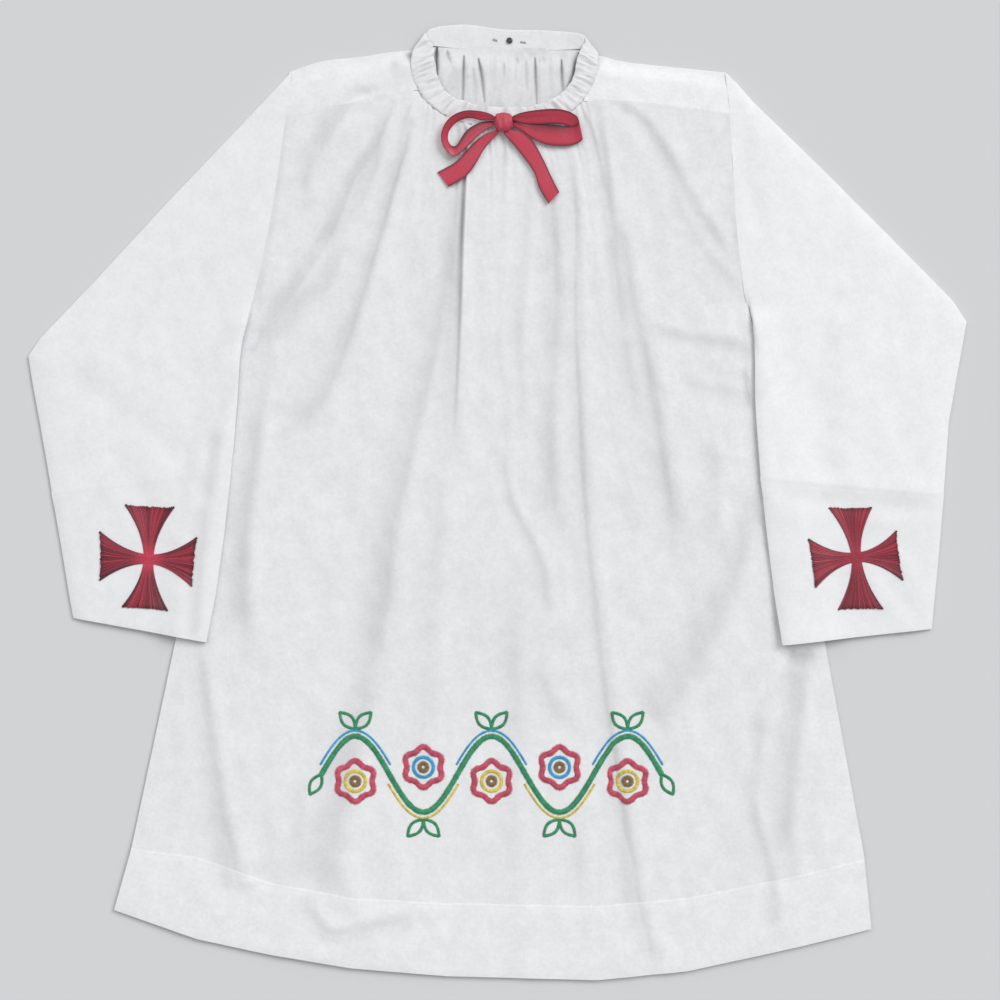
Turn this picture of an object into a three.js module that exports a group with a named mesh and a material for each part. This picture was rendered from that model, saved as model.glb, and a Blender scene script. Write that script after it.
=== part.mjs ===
// A rochet, the white over-garment of the altar, laid flat on its back.
// Millimetres. +Z is up from the surface it lies on, +Y runs from hem to neck, +X to the right.
// The origin is on the surface, under the middle of the garment.
//
// A maker cuts and sews: a gathered front and back, two shoulder straps folded over the shoulders,
// two bent tube sleeves with doubled cuffs, a doubled hem band front and back, a neckband whose
// front half lies on its back half, a stud on the neckband, and a ribbon tied in a bow.
import * as THREE from "three";

// ---- Cloth and air, the driving thicknesses ----
const CLOTH = 1.2; // wall of a single layer
const DOUBLED = 2.0; // wall of the hem, the cuffs and the neckband, which are folded double
const SEAM = 0.3; // gap between pieces that are sewn together
const RIBBON = 1.0; // wall of the ribbon
const FOLDED_EDGE = 3.0; // height of the garment where a front layer meets its back layer
const HEM_HEIGHT = 4.6; // the same where both layers are doubled
const PLAIN_HEIGHT = 6.0; // height of the front away from its edges and folds
const SLEEVE_CLEARANCE = 0.8; // air between the sleeve and the body that it lies on

// ---- Outline of the body: x of both edges, down the garment ----
const UNDERARM_Y = 200;
const BODY_EDGES = [
  { y: 452, left: -204, right: 227 },
  { y: 429, left: -208, right: 230 },
  { y: 408, left: -210.6, right: 232.8 },
  { y: 386, left: -213.8, right: 235 },
  { y: 340, left: -220.2, right: 237.2 },
  { y: 290, left: -228, right: 240 },
  { y: 245, left: -236.5, right: 244.3 },
  { y: UNDERARM_Y, left: -247, right: 250 },
  { y: -138, left: -322, right: 327 },
  { y: -350, left: -367, right: 366 },
  { y: -428, left: -389, right: 374 },
];
// Hem band: y of its seam and of its lower edge, across the garment.
const HEM_LINES = [
  { x: -389, seam: -343, edge: -406 },
  { x: -300, seam: -354, edge: -437 },
  { x: -230, seam: -379, edge: -452 },
  { x: -147, seam: -395, edge: -466 },
  { x: -50, seam: -400, edge: -474 },
  { x: 100, seam: -403, edge: -478 },
  { x: 190, seam: -395, edge: -469 },
  { x: 300, seam: -373, edge: -445 },
  { x: 374, seam: -355, edge: -427 },
];
// Shoulder straps: the folded shoulder line and the seam to the gathered panels, neck end first.
const STRAPS = {
  left: [
    { fold: [-89.5, 451.5], seam: [-84, 414] },
    { fold: [-112, 449], seam: [-110, 408] },
    { fold: [-138, 445], seam: [-142, 400] },
    { fold: [-178, 440], seam: [-182, 393] },
    { fold: [-208, 430], seam: [-213.5, 386] },
  ],
  right: [
    { fold: [103.5, 446.5], seam: [92, 403] },
    { fold: [122, 441], seam: [122, 401] },
    { fold: [152, 437], seam: [150, 399] },
    { fold: [192, 433], seam: [192, 394] },
    { fold: [229.7, 429], seam: [234.5, 388] },
  ],
};
// Neckband, once round from the middle of the back by the left: its free edge, its sewn edge, and
// the height of its middle. It folds over at the two sides.
const NECKBAND = [
  { at: "back", free: [7.5, 473], sewn: [7.5, 452], z: 1.5 },
  { at: "back left", free: [-37.5, 477.9], sewn: [-37.5, 454], z: 1.5 },
  { at: "fold left", free: [-71, 470], sewn: [-81.5, 454.5], z: 5.0 },
  { at: "side left", free: [-64, 453], sewn: [-86, 444], z: 8.6 },
  { at: "front left 1", free: [-61.5, 430], sewn: [-83.5, 422], z: 8.8 },
  { at: "front left 2", free: [-49.5, 408], sewn: [-65.5, 395], z: 8.8 },
  { at: "front left 3", free: [-25.5, 398], sewn: [-33.5, 379], z: 8.8 },
  { at: "front", free: [7.5, 394], sewn: [7.5, 374], z: 8.8 },
  { at: "front right 3", free: [42.5, 397], sewn: [52.5, 378], z: 8.8 },
  { at: "front right 2", free: [64.5, 409], sewn: [80.5, 396], z: 8.8 },
  { at: "front right 1", free: [76.5, 427], sewn: [96.5, 420], z: 8.8 },
  { at: "side right", free: [80.5, 448], sewn: [100.5, 439], z: 8.6 },
  { at: "fold right", free: [87.5, 465], sewn: [98.5, 450.5], z: 5.0 },
  { at: "back right", free: [50.5, 472], sewn: [50.5, 452], z: 1.5 },
];
const ROW = 1 / NECKBAND.length; // share of the neckband from one row of the table to the next
// Where the front panel's gathers start and end on the neckband, and where the straps start.
const NECK_SHARES = { left: 4.28 * ROW, right: 9.42 * ROW, strapLeft: 3.0 * ROW, strapRight: 11.0 * ROW };

// Sleeves: inner (lower) and outer (upper) folded edge, from armhole to cuff seam.
const SLEEVES = {
  left: [
    { inner: [-247, 200], outer: [-208, 430] },
    { inner: [-251, 181], outer: [-257, 378] },
    { inner: [-255.5, 162], outer: [-330, 301] },
    { inner: [-257.5, 140], outer: [-402, 222] },
    { inner: [-258.5, 122], outer: [-457.5, 164] },
    { inner: [-259.5, 104], outer: [-469.5, 146] },
    { inner: [-261, 86], outer: [-465.5, 120] },
    { inner: [-263, 60], outer: [-456, 68] },
    { inner: [-266, 31], outer: [-446, 10] },
  ],
  right: [
    { inner: [250, 200], outer: [230, 429] },
    { inner: [254.6, 181], outer: [256, 400] },
    { inner: [256.6, 162], outer: [318, 340] },
    { inner: [257, 140], outer: [394, 264] },
    { inner: [257, 122], outer: [456, 201] },
    { inner: [257.2, 104], outer: [469.5, 180] },
    { inner: [258, 86], outer: [460, 128] },
    { inner: [260, 58], outer: [451.5, 80] },
    { inner: [262.5, 25], outer: [446.5, 8] },
  ],
};
const CUFFS = {
  left: [
    { inner: [-266, 31], outer: [-446, 10] },
    { inner: [-273, -35], outer: [-436, -48] },
    { inner: [-281, -92], outer: [-429, -91] },
    { inner: [-290.5, -140], outer: [-424.5, -116] },
  ],
  right: [
    { inner: [262.5, 25], outer: [446.5, 8] },
    { inner: [269, -35], outer: [442, -48] },
    { inner: [276, -92], outer: [437.5, -95] },
    { inner: [284, -143], outer: [434.5, -127] },
  ],
};

// ---- The largest folds of the front, each along its own line ----
// depth and half width in mm at the upper and the lower end. A trough has soft raised shoulders.
const FOLDS = [
  { name: "placket edge", depth: [4.2, 1.2], half: [4, 7], line: [[-34, 356], [-37, 212], [-42, 100], [-45, 20]] },
  { name: "left sweep", depth: [3.6, 1.6], half: [7, 16], line: [[-88, 372], [-114, 292], [-153, 158], [-190, 94], [-240, 44]] },
  { name: "strap fold", depth: [3.4, 1.2], half: [8, 12], line: [[-138, 390], [-170, 357], [-200, 312], [-222, 270]] },
  { name: "underarm left", depth: [1.8, 3.4], half: [7, 10], line: [[-112, 366], [-176, 250], [-218, 195], [-240, 168]] },
  { name: "long left", depth: [1.4, 3.6], half: [9, 17], line: [[-57, 240], [-78, 110], [-112, -60], [-140, -205], [-170, -390]] },
  { name: "middle", depth: [1.4, 2.4], half: [8, 13], line: [[3, 120], [12, 12], [40, -45], [50, -120]] },
  { name: "long right", depth: [2.2, 4.4], half: [7, 15], line: [[50, 340], [70, 190], [79, 10], [100, -185], [132, -355], [136, -480]] },
  { name: "right inner", depth: [3.6, 2.0], half: [6, 14], line: [[100, 366], [128, 240], [163, 60], [178, -45], [166, -100]] },
  { name: "right armhole", depth: [2.8, 2.4], half: [8, 12], line: [[124, 386], [178, 317], [210, 262], [240, 214]] },
  { name: "right drape", depth: [2.6, 2.8], half: [12, 18], line: [[250, 0], [216, -104], [178, -187], [146, -222]] },
  { name: "right hem", depth: [1.6, 3.0], half: [12, 15], line: [[299, -150], [291, -240], [288, -310], [270, -450]] },
  { name: "left hem", depth: [1.8, 2.8], half: [11, 15], line: [[-298, -142], [-280, -260], [-262, -360], [-245, -450]] },
  { name: "armhole crease", depth: [1.4, 2.2], half: [9, 11], line: [[146, 172], [200, 164], [238, 150]] },
  { name: "left gather", depth: [3.0, 1.2], half: [6, 12], line: [[-66, 386], [-86, 300], [-104, 200], [-118, 120]] },
  { name: "centre gather", depth: [2.4, 1.0], half: [5, 9], line: [[5, 362], [1, 300], [0, 230]] },
  { name: "right gather", depth: [2.8, 1.2], half: [5, 10], line: [[76, 380], [80, 310], [96, 200], [112, 110]] },
  { name: "inner right gather", depth: [2.2, 1.0], half: [5, 9], line: [[28, 364], [34, 280], [36, 200], [34, 120]] },
];
const SHOULDER_SHARE = 0.42; // height of a trough's raised shoulders, as a share of its depth
const SHOULDER_AT = 1.9; // distance of the shoulders from the trough's line, in half widths

// ---- Gathers at the neckband and straps ----
const GATHERS = { front: 28, back: 22, height: 2.2, frontFade: 62, backFade: 46 };

const lerp = THREE.MathUtils.lerp;
const smooth = (t) => THREE.MathUtils.smoothstep(t, 0, 1);
const rise = (distance, over) => 1 - Math.exp(-Math.max(distance, 0) / over);
const point = (x, y, z) => new THREE.Vector3(x, y, z);

// Value of a column of a table at a key, straight between its rows.
function tableAt(table, key, value, at) {
  const rising = table[0][key] < table[table.length - 1][key];
  const rows = rising ? table : [...table].reverse();
  const next = rows.findIndex((row) => row[key] >= at);
  if (next === 0) return rows[0][value];
  if (next < 0) return rows[rows.length - 1][value];
  const [a, b] = [rows[next - 1], rows[next]];
  return lerp(a[value], b[value], (at - a[key]) / (b[key] - a[key]));
}

// Smooth curve through the two-number points of a table's column.
function curveOf(rows, column, closed = false) {
  const points = rows.map((row) => {
    const [x, y, z] = column ? row[column] : row;
    return point(x, y, z ?? row.z ?? 0);
  });
  return new THREE.CatmullRomCurve3(points, closed, "centripetal");
}

// ---- Closed solids from grids of points ----
// Both grids hold rows of points. Rows run down or along the piece, columns run across it.
function wallSolid(top, under, { loop = false, turned = false } = {}) {
  const [rows, columns] = [top.length, top[0].length];
  const positions = [...top.flat(), ...under.flat()].flatMap((p) => [p.x, p.y, p.z]);
  const index = [];
  const at = (side, row, column) => (side * rows + row) * columns + (column % columns);
  const quad = (a, b, c, d) => index.push(...(turned ? [a, c, b, a, d, c] : [a, b, c, a, c, d]));
  const wide = loop ? columns : columns - 1;
  for (let r = 0; r < rows - 1; r++)
    for (let c = 0; c < wide; c++) {
      quad(at(0, r, c), at(0, r + 1, c), at(0, r + 1, c + 1), at(0, r, c + 1));
      quad(at(1, r, c), at(1, r, c + 1), at(1, r + 1, c + 1), at(1, r + 1, c));
    }
  for (let c = 0; c < wide; c++) {
    quad(at(0, 0, c), at(0, 0, c + 1), at(1, 0, c + 1), at(1, 0, c));
    quad(at(0, rows - 1, c), at(1, rows - 1, c), at(1, rows - 1, c + 1), at(0, rows - 1, c + 1));
  }
  for (let r = 0; !loop && r < rows - 1; r++) {
    quad(at(0, r, 0), at(1, r, 0), at(1, r + 1, 0), at(0, r + 1, 0));
    quad(at(0, r, columns - 1), at(0, r + 1, columns - 1), at(1, r + 1, columns - 1), at(1, r, columns - 1));
  }
  return indexed(positions, index);
}

// A panel that lies on the surface: a shaped top over one flat underside.
function lyingSolid(top) {
  const [rows, columns] = [top.length, top[0].length];
  const at = (row, column) => row * columns + column;
  const index = [];
  for (let r = 0; r < rows - 1; r++)
    for (let c = 0; c < columns - 1; c++)
      index.push(at(r, c), at(r + 1, c), at(r + 1, c + 1), at(r, c), at(r + 1, c + 1), at(r, c + 1));
  const rim = [];
  for (let r = 0; r < rows - 1; r++) rim.push(at(r, 0));
  for (let c = 0; c < columns - 1; c++) rim.push(at(rows - 1, c));
  for (let r = rows - 1; r > 0; r--) rim.push(at(r, columns - 1));
  for (let c = columns - 1; c > 0; c--) rim.push(at(0, c));
  const tops = top.flat();
  const floor = rim.map((i) => point(tops[i].x, tops[i].y, 0));
  rim.forEach((i, k) => {
    const next = (k + 1) % rim.length;
    const [a, b] = [tops.length + k, tops.length + next];
    index.push(i, a, b, i, b, rim[next]);
  });
  const flat = floor.map((p) => new THREE.Vector2(p.x, p.y));
  for (const [a, b, c] of THREE.ShapeUtils.triangulateShape(flat, []))
    index.push(tops.length + a, tops.length + c, tops.length + b);
  return indexed([...tops, ...floor].flatMap((p) => [p.x, p.y, p.z]), index);
}

function indexed(positions, index) {
  const geometry = new THREE.BufferGeometry();
  geometry.setAttribute("position", new THREE.Float32BufferAttribute(positions, 3));
  geometry.setIndex(index);
  geometry.computeVertexNormals();
  return geometry;
}

// Moves each point of a grid along the grid's own normal there.
function offsetGrid(grid, distance, loop = false) {
  const columns = grid[0].length;
  const pick = (r, c) => grid[THREE.MathUtils.clamp(r, 0, grid.length - 1)][c];
  const across = (r, c, step) =>
    pick(r, loop ? (c + step + columns) % columns : THREE.MathUtils.clamp(c + step, 0, columns - 1));
  return grid.map((row, r) =>
    row.map((p, c) => {
      const down = pick(r + 1, c).clone().sub(pick(r - 1, c));
      const over = across(r, c, 1).clone().sub(across(r, c, -1));
      return p.clone().addScaledVector(down.cross(over).normalize(), distance);
    }),
  );
}

// ---- Height of the front, from its edges, folds and gathers ----
function sampledLine(line, count = 24) {
  return curveOf(line, null).getPoints(count);
}
const FOLD_LINES = FOLDS.map((fold) => sampledLine(fold.line));

function nearestOn(points, x, y) {
  let best = { distance: Infinity, share: 0 };
  for (let i = 0; i < points.length - 1; i++) {
    const [a, b] = [points[i], points[i + 1]];
    const [dx, dy] = [b.x - a.x, b.y - a.y];
    const t = THREE.MathUtils.clamp(((x - a.x) * dx + (y - a.y) * dy) / (dx * dx + dy * dy), 0, 1);
    const distance = Math.hypot(x - a.x - t * dx, y - a.y - t * dy);
    if (distance < best.distance) best = { distance, share: (i + t) / (points.length - 1) };
  }
  return best;
}

function foldHeight(x, y) {
  return FOLDS.reduce((sum, fold, i) => {
    const { distance, share } = nearestOn(FOLD_LINES[i], x, y);
    const half = lerp(...fold.half, share);
    const depth = lerp(...fold.depth, share);
    const off = distance / half;
    return sum - depth * Math.exp(-off * off) + depth * SHOULDER_SHARE * Math.exp(-((off - SHOULDER_AT) ** 2));
  }, 0);
}

const bodyLeft = (y) => tableAt(BODY_EDGES, "y", "left", y);
const bodyRight = (y) => tableAt(BODY_EDGES, "y", "right", y);
const insideBody = (x, y) => Math.min(x - bodyLeft(y), bodyRight(y) - x);
const hemSeam = (x) => tableAt(HEM_LINES, "x", "seam", x);
const hemEdge = (x) => tableAt(HEM_LINES, "x", "edge", x);

// Height of the garment along the two edges of the body: low at the side seams, full at the armholes.
function edgeHeight(y) {
  const shoulder = 430;
  const armhole = (PLAIN_HEIGHT - FOLDED_EDGE) * rise(y - UNDERARM_Y, 14) * rise(shoulder - y, 14);
  const hem = (HEM_HEIGHT - FOLDED_EDGE) * smooth((-320 - y) / 40);
  return FOLDED_EDGE + armhole + hem;
}

const neckCentre = point(7.5, 420, 0);
function frontHeight(x, y) {
  const inside = insideBody(x, y);
  const edge = edgeHeight(y);
  const nearNeck = 2.6 * Math.exp(-Math.max(Math.hypot(x - neckCentre.x, y - neckCentre.y) - 48, 0) / 46);
  const plain = lerp(edge, PLAIN_HEIGHT + nearNeck, rise(inside, 26));
  const lowest = lerp(edge, FOLDED_EDGE, rise(y + 320, 10));
  return Math.max(plain + foldHeight(x, y) * smooth(inside / 30), lowest);
}

// Gathers: ridges that follow the columns of a panel and fade away from its sewn edge.
const gatherWave = (share, count) => Math.sin(Math.PI * count * (share + 0.012 * Math.sin(9 * share)));

// ---- Body panels ----
const sewnCurve = curveOf(NECKBAND, "sewn", true);
const freeCurve = curveOf(NECKBAND, "free", true);
const strapSeam = { left: curveOf(STRAPS.left, "seam"), right: curveOf(STRAPS.right, "seam") };
const PANEL = { strapColumns: 9, neckColumns: 42, sideColumns: 2, frontRows: 19, backRows: 12 };

// Upper edge of the front: left strap seam, neckband, right strap seam.
function frontTop() {
  const { strapColumns, neckColumns } = PANEL;
  const left = strapSeam.left.getSpacedPoints(strapColumns).reverse();
  const right = strapSeam.right.getSpacedPoints(strapColumns);
  const neck = [];
  for (let i = 1; i < neckColumns; i++)
    neck.push(sewnCurve.getPoint(lerp(NECK_SHARES.left, NECK_SHARES.right, i / neckColumns)));
  return [...left, ...neck, ...right].map((p) => p.clone().setY(p.y - SEAM * 2));
}

// Upper edge of the back: as the front's, but it rises between the straps to the neckband's back.
function backTop() {
  const { strapColumns, sideColumns } = PANEL;
  const left = strapSeam.left.getSpacedPoints(strapColumns).reverse();
  const right = strapSeam.right.getSpacedPoints(strapColumns);
  const [a, b] = [left[strapColumns], right[0]];
  const [neckLeft, neckRight] = [point(a.x + 4, 450.5, 0), point(b.x - 1, 448.5, 0)];
  const rows = [];
  for (let i = 1; i <= sideColumns; i++) rows.push(a.clone().lerp(neckLeft, i / (sideColumns + 0.001)));
  const neckColumns = PANEL.neckColumns - 2 * sideColumns;
  for (let i = 1; i < neckColumns; i++) rows.push(neckLeft.clone().lerp(neckRight, i / neckColumns));
  for (let i = sideColumns; i >= 1; i--) rows.push(b.clone().lerp(neckRight, i / (sideColumns + 0.001)));
  return [...left, ...rows, ...right].map((p) => p.clone().setY(p.y - SEAM * 2));
}

// Place on the hem seam, and on the lower edge below it, at a share of the way across.
const seamX = (share) => lerp(bodyLeft(-350), bodyRight(-350), share);
const edgeX = (share) => lerp(bodyLeft(-410), bodyRight(-410), share);

// Grid of places from an upper edge down to the hem seam, fanning out from the neck.
function panelPlaces(top, count) {
  const last = top.length - 1;
  const rows = [];
  for (let r = 0; r <= count; r++) {
    const down = (r / count) ** 1.25;
    rows.push(
      top.map((p, c) => {
        const [l0, r0] = [bodyLeft(p.y), bodyRight(p.y)];
        const share = lerp((p.x - l0) / (r0 - l0), c / last, smooth(down * 1.15));
        const y = lerp(p.y, hemSeam(seamX(share)) + SEAM, down);
        return point(lerp(bodyLeft(y), bodyRight(y), share), y, 0);
      }),
    );
  }
  return rows;
}

function frontBody() {
  const places = panelPlaces(frontTop(), PANEL.frontRows);
  const shift = places[0].map((p, c) => c / (places[0].length - 1));
  const top = places.map((row, r) =>
    row.map((p, c) => {
      const below = Math.hypot(p.x - places[0][c].x, p.y - places[0][c].y);
      const middle = smooth(1.4 - Math.abs(shift[c] - 0.5) * 3.4);
      const gather = GATHERS.height * middle * gatherWave(shift[c], GATHERS.front) * Math.exp(-below / GATHERS.frontFade);
      const sewn = r === 0 ? 0.35 : 1;
      return point(p.x, p.y, Math.max(frontHeight(p.x, p.y) + gather * sewn, FOLDED_EDGE));
    }),
  );
  const under = top.map((row) => row.map((p) => point(p.x, p.y, p.z - CLOTH)));
  return wallSolid(top, under);
}

function backBody() {
  const places = panelPlaces(backTop(), PANEL.backRows);
  const top = places.map((row) =>
    row.map((p, c) => {
      const share = c / (row.length - 1);
      const below = Math.hypot(p.x - places[0][c].x, p.y - places[0][c].y);
      const middle = smooth(1.5 - Math.abs(share - 0.5) * 4.4);
      const wave = 0.5 + 0.5 * gatherWave(share, GATHERS.back * 2);
      return point(p.x, p.y, CLOTH + 1.6 * middle * wave * Math.exp(-below / GATHERS.backFade));
    }),
  );
  return lyingSolid(top);
}

function hemPlaces(rows) {
  const columns = PANEL.neckColumns + 2 * PANEL.strapColumns;
  const grid = [];
  for (let r = 0; r <= rows; r++) {
    const row = [];
    for (let c = 0; c <= columns; c++) {
      const share = c / columns;
      const y = lerp(hemSeam(seamX(share)) - SEAM, hemEdge(edgeX(share)), r / rows);
      row.push(point(lerp(bodyLeft(y), bodyRight(y), share), y, 0));
    }
    grid.push(row);
  }
  return grid;
}

function hemFront() {
  const top = hemPlaces(3).map((row) => row.map((p) => point(p.x, p.y, Math.max(frontHeight(p.x, p.y), HEM_HEIGHT))));
  return wallSolid(top, top.map((row) => row.map((p) => point(p.x, p.y, p.z - DOUBLED))));
}

function hemBack() {
  return lyingSolid(hemPlaces(1).map((row) => row.map((p) => point(p.x, p.y, DOUBLED))));
}

// ---- Shoulder straps: folded over the shoulder, one layer on the surface and one on top ----
function strap(side) {
  const fold = curveOf(STRAPS[side], "fold");
  const seam = curveOf(STRAPS[side], "seam");
  const away = side === "left" ? -1 : 1;
  const columns = 9;
  const shares = [0, 0.12, 0.3, 0.5, 0.7, 0.84, 0.93];
  const grid = [];
  for (let c = 0; c <= columns; c++) {
    const [f, s] = [fold.getPoint(c / columns), seam.getPoint(c / columns)];
    if (c === 0) [f, s].forEach((p) => p.setX(p.x + away * SEAM));
    const upper = (share) => {
      const p = s.clone().lerp(f, share);
      const full = frontHeight(p.x, p.y);
      return p.setZ(Math.max(lerp(full, FOLDED_EDGE, smooth((share - 0.55) / 0.45)), FOLDED_EDGE));
    };
    const turn = f.clone();
    const line = shares.map(upper);
    line.push(turn.clone().setZ(FOLDED_EDGE * 0.5));
    for (const share of [...shares].reverse()) line.push(s.clone().lerp(f, share));
    grid.push(line);
  }
  const inner = grid.map((line) =>
    line.map((p, i) => {
      const middle = shares.length;
      if (i === middle) return p.clone().lerp(line[0].clone().setZ(p.z), 0.03);
      return point(p.x, p.y, p.z + (i < middle ? -CLOTH : CLOTH));
    }),
  );
  return wallSolid(grid, inner, { turned: side === "left" });
}

// ---- Sleeves and cuffs: flat tubes whose inner edge lies on the body ----
// Height of what the sleeve lies on: the surface, and the body's edge where the sleeve covers it.
function sleeveFloor(x, y) {
  const ramp = 34;
  const inside = insideBody(x, y);
  const below = smooth((UNDERARM_Y - y) / 24);
  const on = smooth((inside + ramp) / ramp);
  const around = [-9, 0, 9].map((step) => frontHeight(x + step, y));
  const body = inside > 0 ? Math.max(...around) : Math.max(edgeHeight(y), around[inside < -9 ? 1 : 2], around[0]);
  return (body + SLEEVE_CLEARANCE) * on * below;
}

// How far a sleeve's straight first station is moved at each share of it, to meet the armhole.
function armholeBend(side, first) {
  const away = side === "left" ? -1 : 1;
  return (share) => {
    const x = lerp(first.inner[0], first.outer[0], share);
    const y = lerp(first.inner[1], first.outer[1], share);
    return (side === "left" ? bodyLeft(y) : bodyRight(y)) + away * 2 * SEAM - x;
  };
}

// Stations of a folded tube: the table's rows, with more between them.
function tubeStations(rows, between) {
  const stations = [];
  rows.forEach((row, i) => {
    const next = rows[i + 1];
    const steps = next ? between : 1;
    for (let k = 0; k < steps; k++) {
      const mix = (a, b) => (next ? [lerp(a[0], b[0], k / steps), lerp(a[1], b[1], k / steps)] : a);
      stations.push({ inner: mix(row.inner, next?.inner), outer: mix(row.outer, next?.outer) });
    }
  });
  return stations;
}

// Once round a flat tube: how far across from the inner edge, and how far up from the lower layer.
const TUBE_SECTION = [
  { across: 0, up: 0.5 },
  ...[0.012, 0.07, 0.16, 0.28, 0.42, 0.58, 0.72, 0.86, 0.95, 0.988].map((across) => ({ across, up: 0 })),
  { across: 1, up: 0.5 },
  ...[0.988, 0.95, 0.88, 0.78, 0.66, 0.54, 0.42, 0.3, 0.2, 0.12, 0.05, 0.012].map((across) => ({ across, up: 1 })),
];

function flatTube(stations, wall, height, side, bend = () => 0) {
  const ring = (station, inset, k) => {
    const [a, b] = [point(...station.inner, 0), point(...station.outer, 0)];
    const width = a.distanceTo(b);
    return TUBE_SECTION.map(({ across, up }) => {
      const share = lerp(inset / width, 1 - inset / width, across);
      const p = a.clone().lerp(b, share);
      p.x += bend(share) * Math.max(1 - k / 3, 0);
      const low = sleeveFloor(p.x, p.y);
      const high = low + height(p, share * width, (1 - share) * width);
      return p.setZ(lerp(low + inset, high - inset, up));
    });
  };
  const outer = stations.map((s, k) => ring(s, 0, k));
  const inner = stations.map((s, k) => ring(s, wall, k));
  return wallSolid(outer, inner, { loop: true, turned: side === "right" });
}

// Height of a sleeve's two layers: low at both folded edges, full between them.
const puff = (fromInner, fromOuter) =>
  FOLDED_EDGE + (PLAIN_HEIGHT - FOLDED_EDGE) * rise(fromInner, 14) * rise(fromOuter, 14);

function sleeve(side) {
  const stations = tubeStations(SLEEVES[side], 2);
  return flatTube(stations, CLOTH, (p, a, b) => puff(a, b), side, armholeBend(side, stations[0]));
}

function cuff(side) {
  const stations = tubeStations(CUFFS[side], 2);
  const first = stations[0];
  stations[0] = { inner: [first.inner[0], first.inner[1] - SEAM], outer: [first.outer[0], first.outer[1] - SEAM] };
  return flatTube(stations, DOUBLED, (p, a, b) => puff(a, b) + 2 * (DOUBLED - CLOTH), side);
}

// ---- Neckband: one closed band, folded over at its two sides ----
function neckband() {
  const around = 70;
  const rows = 3;
  const middle = [];
  for (let r = 0; r <= rows; r++) {
    const ring = [];
    for (let i = 0; i < around; i++) {
      const [sewn, free] = [sewnCurve.getPoint(i / around), freeCurve.getPoint(i / around)];
      ring.push(free.lerp(sewn, r / rows));
    }
    middle.push(ring);
  }
  const outer = offsetGrid(middle, DOUBLED / 2, true);
  const inner = offsetGrid(middle, -DOUBLED / 2, true);
  return wallSolid(outer, inner, { loop: true });
}

// ---- Stud: a domed button on a short stem, on the inside of the neckband's back half ----
const STUD = { at: [12, 461.5], radius: 3.1, stem: 1.2, top: 2.9 };
function stud() {
  const bottom = 2.9;
  const profile = [
    [0, bottom],
    [STUD.stem, bottom],
    [STUD.stem, bottom + 0.7],
    [STUD.radius - 0.3, bottom + 0.7],
    [STUD.radius, bottom + 1.1],
    [STUD.radius * 0.8, bottom + 1.8],
    [STUD.radius * 0.45, bottom + 2.2],
    [0, bottom + 2.3],
  ];
  const geometry = new THREE.LatheGeometry(profile.map(([r, z]) => new THREE.Vector2(r, z)), 20);
  return geometry.rotateX(Math.PI / 2).translate(STUD.at[0], STUD.at[1], 0);
}

// ---- Ribbon bow: strips between two edge lines, a the upper or left edge and b the other ----
const RIBBONS = {
  ribbon_loop_left: [
    { a: [-5.4, 385.5, 17.6], b: [-5.4, 379.5, 15] },
    { a: [-16, 388.2, 18.6], b: [-15, 380, 14.4] },
    { a: [-30, 389, 19], b: [-28, 382.5, 13] },
    { a: [-41, 386, 19], b: [-38, 380, 12.2] },
    { a: [-50, 379, 18.5], b: [-45, 374.5, 11.8] },
    { a: [-55, 369, 18], b: [-49, 368, 11.6] },
    { a: [-55.5, 359, 17.5], b: [-49.5, 361, 11.6] },
    { a: [-51, 350, 17], b: [-46.5, 355.5, 11.6] },
    { a: [-43.5, 344, 15.6], b: [-42, 354.5, 11.6] },
    { a: [-35, 349, 15.4], b: [-36.5, 362, 11.6] },
    { a: [-26, 358, 15.2], b: [-30, 371, 11.8] },
    { a: [-15, 368.5, 13.6], b: [-18, 378, 11.9] },
    { a: [-5.4, 374, 13.2], b: [-5.4, 380, 12] },
  ],
  ribbon_loop_right: [
    { a: [16.9, 385, 17.6], b: [16.9, 379, 14.7] },
    { a: [26, 387.5, 18.6], b: [27, 377, 13.6] },
    { a: [40, 389.5, 19.5], b: [41, 376.5, 13] },
    { a: [58, 390.5, 19.5], b: [58, 377, 12.6] },
    { a: [71, 388, 19], b: [72, 374.5, 12.2] },
    { a: [79.5, 382.5, 18.5], b: [82, 368, 11.9] },
    { a: [80.5, 376.5, 18.2], b: [84.5, 361.5, 11.7] },
    { a: [73, 372.3, 18], b: [77.5, 356.6, 11.6] },
    { a: [57, 370, 18], b: [61, 354.8, 11.6] },
    { a: [42, 372, 17.6], b: [46, 357.2, 11.6] },
    { a: [30, 376.5, 15.8], b: [33, 363.8, 11.8] },
    { a: [23, 379.5, 14], b: [24.5, 369.8, 12] },
    { a: [16.9, 381.3, 13.3], b: [17.2, 373, 12.1] },
  ],
  ribbon_tail_left: [
    { a: [-2.6, 369.6, 13], b: [0.4, 366.8, 13] },
    { a: [-9.5, 368, 12], b: [-5.5, 361, 12] },
    { a: [-20, 361.5, 10.6], b: [-14, 350.5, 11] },
    { a: [-30, 351.5, 10.3], b: [-21.5, 337.5, 10.7] },
    { a: [-41.5, 339.5, 10.1], b: [-31, 325.2, 10.2] },
    { a: [-60, 329, 9.4], b: [-48.6, 314.4, 9.4] },
  ],
  ribbon_tail_right: [
    { a: [6.5, 366.8, 13], b: [15.5, 370.6, 13] },
    { a: [12, 360.5, 12.2], b: [23, 369.5, 12.4] },
    { a: [24.5, 345.5, 11], b: [35, 360, 11.2] },
    { a: [36.5, 328.5, 10.4], b: [46, 341, 10.6] },
    { a: [41.5, 313.5, 10.2], b: [54.5, 323, 10.2] },
    { a: [50.9, 297.6, 10], b: [61.6, 309, 10] },
  ],
};
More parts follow.
